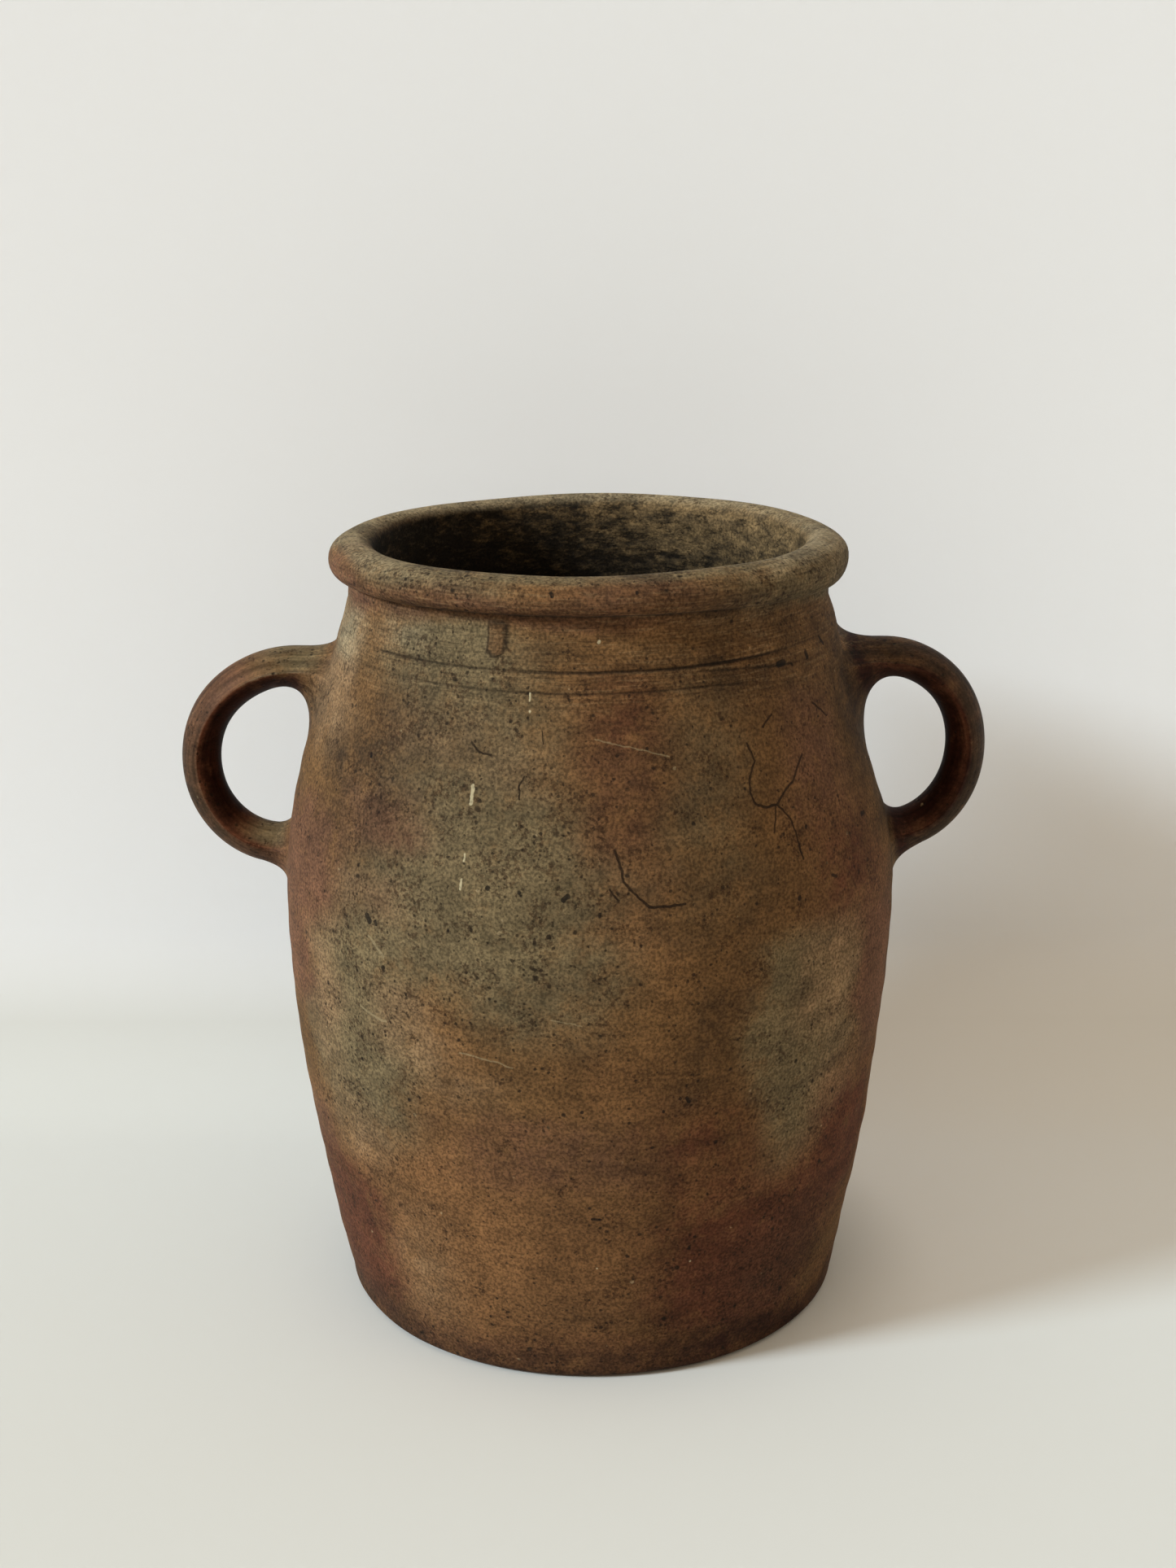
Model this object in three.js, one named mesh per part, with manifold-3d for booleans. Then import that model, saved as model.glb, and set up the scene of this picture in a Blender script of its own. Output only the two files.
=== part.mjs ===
// Two-handled stoneware storage pot: a thrown body with a rolled rim, two pulled strap handles, and the
// beds and collars of soft clay that lute the handles to the shoulder.
// Millimetres, +Z up. The origin is the centre of the flat base, and the handles lie along X.
import * as THREE from "three";
import { mergeVertices } from "three/addons/utils/BufferGeometryUtils.js";
import Module from "manifold-3d";

// Body: radii are of the outer face, heights are from the base.
const FOOT_RADIUS = 78.8;
const FOOT_ROUND = 4;
const FOOT_LEAN = 0.18; // outward run of the wall per unit of height, just above the foot
const BELLY_RADIUS = 93.7;
const BELLY_HEIGHT = 132;
const NECK_RADIUS = 72.4;
const NECK_HEIGHT = 222;
const NECK_LEAN = -0.3; // the shoulder leans in as it meets the neck
const WALL = 7.5;
const FLOOR = 9;
const FLOOR_FILLET = 14;

// Rolled rim, as seen in section: a straight collar of neck, then a full bead turned outwards.
const NECK_COLLAR = 7.4;
const RIM_OVERHANG = 5.6;
const RIM_LOWER = 4.6; // bead's widest point to its underside
const RIM_UPPER = 6; // bead's widest point to its crest
const RIM_CREST_INSET = 7.6; // bead's widest point to the crest, across
const LIP_DROP = 3.5; // crest to the straight inner face of the mouth

// Two tool lines cut into the shoulder below the neck.
const LINE_DROPS = [7.8, 13.6];
const LINE_WIDTH = 1.4;
const LINE_DEPTH = 0.5;

// Handle straps: oval in section with a soft ridge along each edge, narrower and thicker at the lower end.
const STRAP_UPPER_WIDTH = 21;
const STRAP_LOWER_WIDTH = 17;
const STRAP_UPPER_THICKNESS = 11.4;
const STRAP_LOWER_THICKNESS = 12.5;
const STRAP_RIDGE = 0.6; // 0 is a plain ellipse, and more pinches the two edges
const STRAP_EMBED = 12; // how far a strap blank runs into the wall before it is cut to seat on it

// Each handle: drop of the upper end below the neck, span between the ends, rise of the outermost point above
// the lower end, room for fingers, and the straight runs from the wall to the bend.
const LEFT_HANDLE = { side: -1, drop: 22.8, span: 56.5, rise: 27.2, room: 25.5, upperRun: 9.4, lowerRun: 3 };
const RIGHT_HANDLE = { side: 1, drop: 20.6, span: 55.2, rise: 27.9, room: 22.9, upperRun: 11.6, lowerRun: 0.5 };

// Lutes: a bed of slip under the strap's end, and a collar that is thumbed out from the strap on to the wall. Its
// flare at the wall and its length along the strap differ between the outer side and the side of the hole.
const LUTE_BED = 0.8;
const LUTE_EDGE = 0.9;
const UPPER_LUTE = { outerFlare: 4, outerLength: 8, holeFlare: 13, holeLength: 14 };
const LOWER_LUTE = { outerFlare: 7, outerLength: 9, holeFlare: 3.5, holeLength: 6 };
const JOINT_GAP = 0.3;

// Fineness of the facets.
const TURN_STEPS = 60;
const WALL_STEPS = 8;
const ROUND_STEPS = 4;
const BEAD_STEPS = 5;
const STRAP_SIDES = 20;
const STRAP_STEPS = 26;
const LUTE_STEPS = 8;

const CLAY = new THREE.Color("#67533c");
const RED_CLAY = new THREE.Color("#5b3d2f");
const LUTE_CLAY = new THREE.Color("#5f4a38");

const wasm = await Module();
wasm.setup();

// Cubic in height with a set radius and lean at both ends.
function cubicRadius(z, low, high) {
  const length = high.z - low.z;
  const t = (z - low.z) / length;
  const blend = t * t * (3 - 2 * t);
  const lowLean = t * (1 - t) * (1 - t) * length * low.lean;
  const highLean = t * t * (t - 1) * length * high.lean;
  return low.r + (high.r - low.r) * blend + lowLean + highLean;
}

const FOOT = { z: FOOT_ROUND, r: FOOT_RADIUS, lean: FOOT_LEAN };
const BELLY = { z: BELLY_HEIGHT, r: BELLY_RADIUS, lean: 0 };
const NECK = { z: NECK_HEIGHT, r: NECK_RADIUS, lean: NECK_LEAN };

// Outer radius of the thrown wall at a height between the foot and the neck.
function wallRadius(z) {
  return z < BELLY.z ? cubicRadius(z, FOOT, BELLY) : cubicRadius(z, BELLY, NECK);
}

// Values between two levels, evenly spaced, both ends included.
function levels(from, to, steps) {
  return Array.from({ length: steps + 1 }, (_, i) => THREE.MathUtils.lerp(from, to, i / steps));
}

const WALL_LEVELS = [
  ...levels(FOOT.z, BELLY.z, WALL_STEPS),
  ...levels(BELLY.z, NECK.z, WALL_STEPS).slice(1),
];

// Points of an elliptical arc in the profile plane; angles in quarter turns.
function arc(centreR, centreZ, radiusR, radiusZ, fromQuarter, toQuarter, steps) {
  const start = (fromQuarter * Math.PI) / 2;
  const end = (toQuarter * Math.PI) / 2;
  const curve = new THREE.EllipseCurve(centreR, centreZ, radiusR, radiusZ, start, end, end < start);
  return curve.getPoints(steps);
}

// Closed solid of revolution about Z from a profile of (radius, height) that starts and ends on the axis.
function revolve(profile) {
  return new THREE.LatheGeometry(profile, TURN_STEPS).rotateX(Math.PI / 2);
}

// The wall's outer face from foot to neck, with each tool line as a small V.
function wallFace() {
  const lines = LINE_DROPS.map((drop) => NECK.z - drop);
  const clear = WALL_LEVELS.filter((z) => lines.every((line) => Math.abs(z - line) > LINE_WIDTH));
  const plain = clear.map((z) => new THREE.Vector2(wallRadius(z), z));
  const cuts = lines.flatMap((z) => [
    new THREE.Vector2(wallRadius(z - LINE_WIDTH / 2), z - LINE_WIDTH / 2),
    new THREE.Vector2(wallRadius(z) - LINE_DEPTH, z),
    new THREE.Vector2(wallRadius(z + LINE_WIDTH / 2), z + LINE_WIDTH / 2),
  ]);
  return [...plain, ...cuts].sort((a, b) => a.y - b.y);
}

function thrownBody() {
  const beadRadius = NECK.r + RIM_OVERHANG;
  const beadHeight = NECK.z + NECK_COLLAR + RIM_LOWER;
  const crestRadius = beadRadius - RIM_CREST_INSET;
  const crestHeight = beadHeight + RIM_UPPER;
  const mouthRadius = NECK.r - WALL;
  const cornerHeight = FLOOR + FLOOR_FILLET;
  const cornerRadius = wallRadius(cornerHeight) - WALL;
  const innerLevels = levels(cornerHeight, NECK.z, WALL_STEPS + 3).reverse();
  const profile = [
    new THREE.Vector2(0, 0),
    ...arc(FOOT.r - FOOT_ROUND, FOOT_ROUND, FOOT_ROUND, FOOT_ROUND, -1, 0, ROUND_STEPS).slice(0, -1),
    ...wallFace(),
    ...arc(NECK.r, beadHeight, RIM_OVERHANG, RIM_LOWER, -1, 0, BEAD_STEPS).slice(0, -1),
    ...arc(crestRadius, beadHeight, RIM_CREST_INSET, RIM_UPPER, 0, 1, BEAD_STEPS).slice(0, -1),
    ...arc(crestRadius, crestHeight - LIP_DROP, crestRadius - mouthRadius, LIP_DROP, 1, 2, BEAD_STEPS),
    ...innerLevels.slice(0, -1).map((z) => new THREE.Vector2(wallRadius(z) - WALL, z)),
    ...arc(cornerRadius - FLOOR_FILLET, cornerHeight, FLOOR_FILLET, FLOOR_FILLET, 0, -1, ROUND_STEPS),
    new THREE.Vector2(0, FLOOR),
  ];
  return revolve(profile);
}

// Filled blank of the body's outer wall, grown by an allowance square to the face.
function wallBlank(allowance) {
  const step = 0.5;
  const grown = WALL_LEVELS.map((z) => {
    const low = Math.max(z - step, FOOT.z);
    const high = Math.min(z + step, NECK.z);
    const lean = (wallRadius(high) - wallRadius(low)) / (high - low);
    return new THREE.Vector2(wallRadius(z) + allowance * Math.hypot(1, lean), z);
  });
  return revolve([new THREE.Vector2(0, FOOT.z), ...grown, new THREE.Vector2(0, NECK.z)]);
}

// Line of a strap's middle in the plane of (distance from the axis, height): straight out of the wall, a quarter
// of an ellipse round to the outermost point, another quarter back, and straight into the wall.
function strapLine(handle) {
  const upper = NECK.z - handle.drop;
  const lower = upper - handle.span;
  const middle = lower + handle.rise;
  const reach = wallRadius(middle) + handle.room + STRAP_UPPER_THICKNESS / 2;
  const upperBend = wallRadius(upper) + handle.upperRun;
  const lowerBend = wallRadius(lower) + handle.lowerRun;
  const line = new THREE.CurvePath();
  line.add(
    new THREE.LineCurve(
      new THREE.Vector2(wallRadius(upper) - STRAP_EMBED, upper),
      new THREE.Vector2(upperBend, upper),
    ),
  );
  line.add(new THREE.EllipseCurve(upperBend, middle, reach - upperBend, upper - middle, Math.PI / 2, 0, true));
  line.add(new THREE.EllipseCurve(lowerBend, middle, reach - lowerBend, middle - lower, 0, -Math.PI / 2, true));
  line.add(
    new THREE.LineCurve(
      new THREE.Vector2(lowerBend, lower),
      new THREE.Vector2(wallRadius(lower) - STRAP_EMBED, lower),
    ),
  );
  return line;
}

// Closed loft of the strap's section along its line between two lengths from the upper end. `grow(length, outer)`
// is added to the section there, `outer` running from 0 on the side of the hole to 1 on the outer side.
function loftStrap(handle, line, from, to, steps, grow) {
  const total = line.getLength();
  const positions = [];
  const ring = (length) => {
    const u = length / total;
    const centre = line.getPoint(u);
    const along = line.getTangent(u);
    const width = THREE.MathUtils.lerp(STRAP_UPPER_WIDTH, STRAP_LOWER_WIDTH, u) / 2;
    const thickness = THREE.MathUtils.lerp(STRAP_UPPER_THICKNESS, STRAP_LOWER_THICKNESS, u) / 2;
    for (let i = 0; i < STRAP_SIDES; i += 1) {
      const angle = (2 * Math.PI * i) / STRAP_SIDES;
      const sine = Math.sin(angle);
      const more = grow(length, (1 + sine) / 2);
      const rise = sine * (Math.abs(sine) ** STRAP_RIDGE * thickness + more);
      const x = handle.side * (centre.x - along.y * rise);
      positions.push(x, handle.side * Math.cos(angle) * (width + more), centre.y + along.x * rise);
    }
  };
  const lengths = levels(from, to, steps);
  lengths.forEach(ring);
  const ends = [from, to].map((length) => line.getPoint(length / total));
  ends.forEach((end) => positions.push(handle.side * end.x, 0, end.y));
  const startCentre = lengths.length * STRAP_SIDES;
  const index = [];
  for (let i = 0; i < STRAP_SIDES; i += 1) {
    const next = (i + 1) % STRAP_SIDES;
    for (let row = 0; row < steps; row += 1) {
      const here = row * STRAP_SIDES;
      const there = here + STRAP_SIDES;
      index.push(here + i, here + next, there + next, here + i, there + next, there + i);
    }
    const last = steps * STRAP_SIDES;
    index.push(startCentre, next, i, startCentre + 1, last + i, last + next);
  }
  const geometry = new THREE.BufferGeometry();
  geometry.setAttribute("position", new THREE.Float32BufferAttribute(positions, 3));
  geometry.setIndex(index);
  return geometry;
}

// Closed geometry to solid, and back.
function toSolid(geometry) {
  const bare = geometry.clone();
  bare.deleteAttribute("normal");
  bare.deleteAttribute("uv");
  const merged = mergeVertices(bare);
  const vertProperties = new Float32Array(merged.attributes.position.array);
  const triVerts = new Uint32Array(merged.index.array);
  return new wasm.Manifold(new wasm.Mesh({ numProp: 3, vertProperties, triVerts }));
}

function toGeometry(solid) {
  const mesh = solid.getMesh();
  const geometry = new THREE.BufferGeometry();
  geometry.setAttribute("position", new THREE.BufferAttribute(mesh.vertProperties, 3));
  geometry.setIndex(new THREE.BufferAttribute(mesh.triVerts, 1));
  geometry.computeVertexNormals();
  return geometry;
}

// Length along a strap's line at which it passes through the wall's face, searched between two lengths of which
// the first is outside the wall.
function wallCrossing(line, outside, inside) {
  const total = line.getLength();
  const beyondWall = (length) => {
    const point = line.getPoint(length / total);
    return point.x > wallRadius(point.y);
  };
  let out = outside;
  let within = inside;
  for (let i = 0; i < 40; i += 1) {
    const middle = (out + within) / 2;
    if (beyondWall(middle)) out = middle;
    else within = middle;
  }
  return out;
}

const wallWithGap = toSolid(wallBlank(JOINT_GAP));
const wallWithBed = toSolid(wallBlank(JOINT_GAP + LUTE_BED));
const wallWithBothGaps = toSolid(wallBlank(JOINT_GAP + LUTE_BED + JOINT_GAP));

// One handle: the strap, cut to sit on its two beds.
function strap(handle, line) {
  const blank = toSolid(loftStrap(handle, line, 0, line.getLength(), STRAP_STEPS, () => 0));
  return toGeometry(blank.subtract(wallWithBothGaps));
}

// One lute: a collar that flares from the strap to the wall in a hollow curve, with the strap's own room and the
// wall cut out of it, which leaves the bed under the strap's end.
function lute(handle, line, size, atUpperEnd) {
  const total = line.getLength();
  const root = wallCrossing(line, total / 2, atUpperEnd ? 0 : total);
  const outwards = atUpperEnd ? 1 : -1;
  const grow = (length, outer) => {
    const flare = THREE.MathUtils.lerp(size.holeFlare, size.outerFlare, outer);
    const reach = THREE.MathUtils.lerp(size.holeLength, size.outerLength, outer);
    const out = THREE.MathUtils.clamp(((length - root) * outwards) / reach, 0, 1);
    return JOINT_GAP + LUTE_EDGE + flare * (1 - out) ** 2;
  };
  const tip = root + outwards * Math.max(size.holeLength, size.outerLength);
  const heel = atUpperEnd ? 0 : total;
  const collar = toSolid(loftStrap(handle, line, Math.min(tip, heel), Math.max(tip, heel), LUTE_STEPS, grow));
  const strapRoom = toSolid(loftStrap(handle, line, 0, total, STRAP_STEPS, () => JOINT_GAP));
  return toGeometry(collar.subtract(strapRoom.subtract(wallWithBed)).subtract(wallWithGap));
}

function clayMesh(name, geometry, color, roughness) {
  const mesh = new THREE.Mesh(geometry, new THREE.MeshStandardMaterial({ color, roughness, metalness: 0 }));
  mesh.name = name;
  return mesh;
}

// A handle with its two lutes, all named for their side.
function luteOn(sideName, handle) {
  const line = strapLine(handle);
  const group = new THREE.Group();
  group.add(clayMesh(`${sideName}_handle`, strap(handle, line), RED_CLAY, 0.7));
  group.add(clayMesh(`${sideName}_upper_lute`, lute(handle, line, UPPER_LUTE, true), LUTE_CLAY, 0.8));
  group.add(clayMesh(`${sideName}_lower_lute`, lute(handle, line, LOWER_LUTE, false), LUTE_CLAY, 0.8));
  return group;
}

const pot = new THREE.Group();
pot.add(clayMesh("thrown_body", thrownBody(), CLAY, 0.85));
pot.add(luteOn("left", LEFT_HANDLE));
pot.add(luteOn("right", RIGHT_HANDLE));

export default pot;
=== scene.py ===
"""A two-handled stoneware storage pot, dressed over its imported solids.

Sizes are millimetres, and become metres where write_piece puts them into a mesh. Angles go round the
pot from its front (-Y) towards its right side (+X). Every piece is a grid of points: rows run along
it and columns round it.
"""
import math
from functools import partial

import bpy
import numpy as np
from mathutils import Matrix, Vector


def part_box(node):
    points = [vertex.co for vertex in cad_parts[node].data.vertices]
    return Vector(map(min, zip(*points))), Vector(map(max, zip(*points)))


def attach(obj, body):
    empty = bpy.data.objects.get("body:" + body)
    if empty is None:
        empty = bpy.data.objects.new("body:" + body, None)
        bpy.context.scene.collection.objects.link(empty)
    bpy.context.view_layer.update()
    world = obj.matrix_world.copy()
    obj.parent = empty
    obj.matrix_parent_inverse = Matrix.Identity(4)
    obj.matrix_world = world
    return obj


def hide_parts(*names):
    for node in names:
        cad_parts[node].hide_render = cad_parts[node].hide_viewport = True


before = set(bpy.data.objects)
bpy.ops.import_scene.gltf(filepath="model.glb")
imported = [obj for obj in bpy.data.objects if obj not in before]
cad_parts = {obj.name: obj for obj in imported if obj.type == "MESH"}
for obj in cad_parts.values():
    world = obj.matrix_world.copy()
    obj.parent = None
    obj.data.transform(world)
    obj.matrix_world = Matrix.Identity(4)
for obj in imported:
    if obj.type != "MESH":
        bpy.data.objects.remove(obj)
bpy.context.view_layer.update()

MM = 0.001

# Thrown body: height and belly come from the frame, and the rest are the sizes of the turned section.
_, body_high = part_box("thrown_body")
RIM_HEIGHT = body_high.z / MM
BELLY_RADIUS = body_high.y / MM
BELLY_HEIGHT = 132.0
FOOT_RADIUS = 78.8
FOOT_ROUND = 4.0
FOOT_LEAN = 0.18
NECK_RADIUS = 72.4
NECK_HEIGHT = 222.0
NECK_LEAN = -0.3
WALL = 7.5
FLOOR = 9.0
FLOOR_FILLET = 14.0
NECK_COLLAR = 7.4
BEAD_OVERHANG = 5.6
BEAD_LOWER = 4.6
BEAD_UPPER = RIM_HEIGHT - NECK_HEIGHT - NECK_COLLAR - BEAD_LOWER
CREST_INSET = 7.6
LIP_DROP = 3.5
BODY_COLUMNS = 400

# Rows of the wall: spread out below the tool lines, close together across them (from, to, step) and
# spread out above.
LINES_FROM = 205.0
LINE_ROWS = (205.3, 216.6, 0.3)
LINES_TO = 217.0

# Handle straps: full width and thickness at the upper and the lower end, how far inside the wall its
# line begins and how deep the strap itself is seated there, the line that each one follows, how far
# ash and soot cover it, how much of its length is sooted, where round it the soot ends and the burnt
# hole side begins, where along it the burnt side ends, how burnt its ridge is, and how dark the
# painted shade is at its roots.
STRAP_WIDTH = (21.0, 17.0)
STRAP_THICKNESS = (11.4, 12.5)
STRAP_RIDGE = 0.6
STRAP_EMBED = 12.0
STRAP_SEAT = 4.5
STRAP_ROWS = 150
STRAP_COLUMNS = 64
HANDLES = {
    "left": {"side": -1, "drop": 22.8, "span": 56.5, "rise": 27.2, "room": 25.5, "runs": (9.4, 3.0),
             "ash": 0.8, "soot": 0.7, "sooted": 0.3, "soot_edge": (0.65, 0.3), "burnt": (0.48, 0.85),
             "burnt_end": (0.82, 0.66), "burnt_ridge": 0.0, "root_shade": 0.0},
    "right": {"side": 1, "drop": 20.6, "span": 55.2, "rise": 27.9, "room": 22.9, "runs": (11.6, 0.5),
              "ash": 0.1, "soot": 0.95, "sooted": 0.7, "soot_edge": (0.65, 0.25), "burnt": (0.5, 0.95),
              "burnt_end": (1.2, 1.0), "burnt_ridge": 0.75, "root_shade": 0.8},
}

# Lutes: how far along the strap and how far out on the wall the clay is thumbed, on the outer and the
# hole side. The skin is pulled along the strap and along the wall by shares of its way, and its edge
# is buried in the wall. The strap's finish goes over into the wall's between two shares of the way,
# and the middle and half-width of the painted shade at the roots are shares of that change.
LUTES = {
    "left_upper": {"length": (6.0, 19.0), "flare": (3.0, 21.0)},
    "left_lower": {"length": (9.0, 6.0), "flare": (8.0, 3.0)},
    "right_upper": {"length": (9.0, 21.0), "flare": (6.0, 25.0)},
    "right_lower": {"length": (10.0, 7.0), "flare": (10.0, 4.0)},
}
LUTE_ROWS = 26
LUTE_SINK = 0.05
LUTE_PULL = (0.62, 0.72)
LUTE_BURIED = 3.0
LUTE_BLEND = (0.15, 0.85)
LUTE_ROOT_SHADE = (0.4, 0.35)

# Cosines in one uneven field.
RIPPLES = 10


def smooth(low, high, x):
    """Smoothstep: 0 at low, 1 at high and 3t^2 - 2t^3 between, t being the clipped share of the
    way."""
    t = np.clip((x - low) / (high - low), 0, 1)
    return t * t * (3 - 2 * t)


def bell(x, half):
    """Bell curve: e to the minus square of x over half."""
    return np.exp(-((x / half) ** 2))


def turn_from(angle, degrees):
    """Angle measured from a place on the pot, in degrees from -180 to 180."""
    return (np.degrees(angle) - degrees + 180) % 360 - 180


def ripple(angle, height, seed, turns, pitch):
    """Uneven field of about -1 to 1 on the pot: ten cosines, each with a random whole number of waves
    round the pot (up to turns), a random wave up it (pitch mm or longer) and a random phase, summed
    and divided by root ten."""
    dice = np.random.default_rng(seed)
    around = dice.integers(-turns, turns + 1, RIPPLES)
    upward = dice.uniform(-2 * math.pi / pitch, 2 * math.pi / pitch, RIPPLES)
    phase = dice.uniform(0, 2 * math.pi, RIPPLES)
    waves = [np.cos(n * angle + k * height + p) for n, k, p in zip(around, upward, phase)]
    return sum(waves) / math.sqrt(RIPPLES)


def hermite(height, low, high):
    """Cubic between two (height, radius, lean) ends: a smoothstep from radius to radius, plus each
    lean times the length times t(1-t)^2 at the low end and t^2(t-1) at the high end."""
    length = high[0] - low[0]
    t = (height - low[0]) / length
    rise = low[1] + (high[1] - low[1]) * t * t * (3 - 2 * t)
    return rise + length * (low[2] * t * (1 - t) ** 2 + high[2] * t * t * (t - 1))


def wall_radius(height):
    """Outer radius of the true turned wall: one cubic from foot to belly and another from belly to
    neck."""
    foot = (FOOT_ROUND, FOOT_RADIUS, FOOT_LEAN)
    belly = (BELLY_HEIGHT, BELLY_RADIUS, 0.0)
    neck = (NECK_HEIGHT, NECK_RADIUS, NECK_LEAN)
    height = np.clip(height, FOOT_ROUND, NECK_HEIGHT)
    return np.where(height < BELLY_HEIGHT, hermite(height, foot, belly), hermite(height, belly, neck))


# The wall's oval turn: mm, phase, and the heights between which it sets in. Its slow swells: mm,
# seed, most waves round the pot and shortest wave up it. The throwing rings: depth, pitch, and how far
# their spiral wavers (in radians) and over what height.
OVAL = 0.35
OVAL_PHASE = 0.6
OVAL_RISE = (20, 200)
SWELLS = ((0.28, 11, 5, 45), (0.1, 12, 14, 16))
RING_DEPTH = 0.07
RING_PITCH = 10.5
RING_WAVER = 1.3
RING_WAVER_HEIGHT = 31

# Places where the wall was pressed in or left swollen: angle, height, half-angle, half-height and mm
# outwards.
PRESSED = (
    (-88, 112, 11, 10, -0.5),
    (-88, 100, 40, 28, 0.9),
    (88, 182, 45, 26, -2.0),
    (88, 130, 40, 26, 1.0),
    (80, 12, 60, 26, -0.4),
    (-70, 6, 45, 16, -1.0),
)


def hand_marks(angle, height):
    """What the potter's hands left on the wall, in mm outwards: a slightly oval turn (cosine of twice
    the angle), slow swells (ripple), a spiral of throwing rings (cosine of a height that rises one
    pitch a turn) and the pressed and swollen places (each a bell in angle and height)."""
    oval = OVAL * np.cos(2 * angle + OVAL_PHASE) * smooth(*OVAL_RISE, height)
    swells = sum(much * ripple(angle, height, *field) for much, *field in SWELLS)
    waver = RING_WAVER * np.sin(height / RING_WAVER_HEIGHT)
    rings = RING_DEPTH * np.cos(2 * math.pi * height / RING_PITCH + angle + waver)
    pressed = 0
    for at, level, wide, tall, much in PRESSED:
        pressed = pressed + much * bell(turn_from(angle, at), wide) * bell(height - level, tall)
    return oval + swells + rings + pressed


# Tool lines on the shoulder, each through places: angle round the pot, height, and how strongly it is
# cut there.
TOOL_LINES = (
    ((-180, 213.4, 0.8), (-130, 213.8, 0.3), (-95, 213.9, 0.2), (-55, 214.1, 0.3), (-48, 214.1, 0.6),
     (0, 214.0, 1), (30, 214.3, 1.2), (38, 214.4, 1), (46, 214.8, 0.5), (60, 215.1, 0.4), (75, 215.2, 0),
     (120, 214.2, 0.5)),
    ((-180, 208.0, 0.5), (-120, 208.4, 0.5), (-80, 209.2, 0.2), (-70, 209.0, 0.3), (-30, 208.8, 0.5),
     (0, 208.6, 0.6), (28, 208.7, 0.7), (36, 207.8, 0.4), (46, 206.2, 0.1), (70, 206.5, 0),
     (130, 207.5, 0.4)),
    ((-180, 211.0, 0), (20, 213.2, 0), (27, 212.6, 0.5), (40, 211.4, 0.7), (48, 210.6, 0.5),
     (56, 210.2, 0), (180, 211.0, 0)),
    ((-180, 210.6, 0), (16, 210.9, 0), (24, 210.8, 0.3), (45, 210.7, 0.3), (55, 210.6, 0),
     (180, 210.6, 0)),
)
LINE_HALF = 0.42
LINE_DEPTH = 0.4


def tool_cuts(angle, height):
    """Depth of the tool lines, in mm inwards: for each line a bell in height about a line whose
    height and strength are joined up straight between the listed angles."""
    degrees = np.degrees(angle)
    cut = 0
    for places in TOOL_LINES:
        angles, heights, strengths = zip(*places)
        line = np.interp(degrees, angles, heights, period=360)
        strength = np.interp(degrees, angles, strengths, period=360)
        cut = cut + LINE_DEPTH * strength * bell(height - line, LINE_HALF)
    return cut


# Run of brown slip from under the rim: its place and size, where its edge fades (in half-widths) and
# where it begins under the rim.
RUN_ANGLE = -20.0
RUN_FOOT = 217.5
RUN_HALF_WIDTH = 2.6
RUN_THICKNESS = 0.5
RUN_EDGE = (1.15, 0.8)
RUN_TOP = (229, 225)


def slip_run(angle, height):
    """Share of the slip run at a place, 0 to 1: inside a stadium hanging from the rim, whose rounded
    end is at RUN_FOOT."""
    across = np.radians(turn_from(angle, RUN_ANGLE)) * NECK_RADIUS
    below = np.maximum(RUN_FOOT + RUN_HALF_WIDTH - height, 0)
    return smooth(*RUN_EDGE, np.hypot(across, below) / RUN_HALF_WIDTH) * smooth(*RUN_TOP, height)
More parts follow.
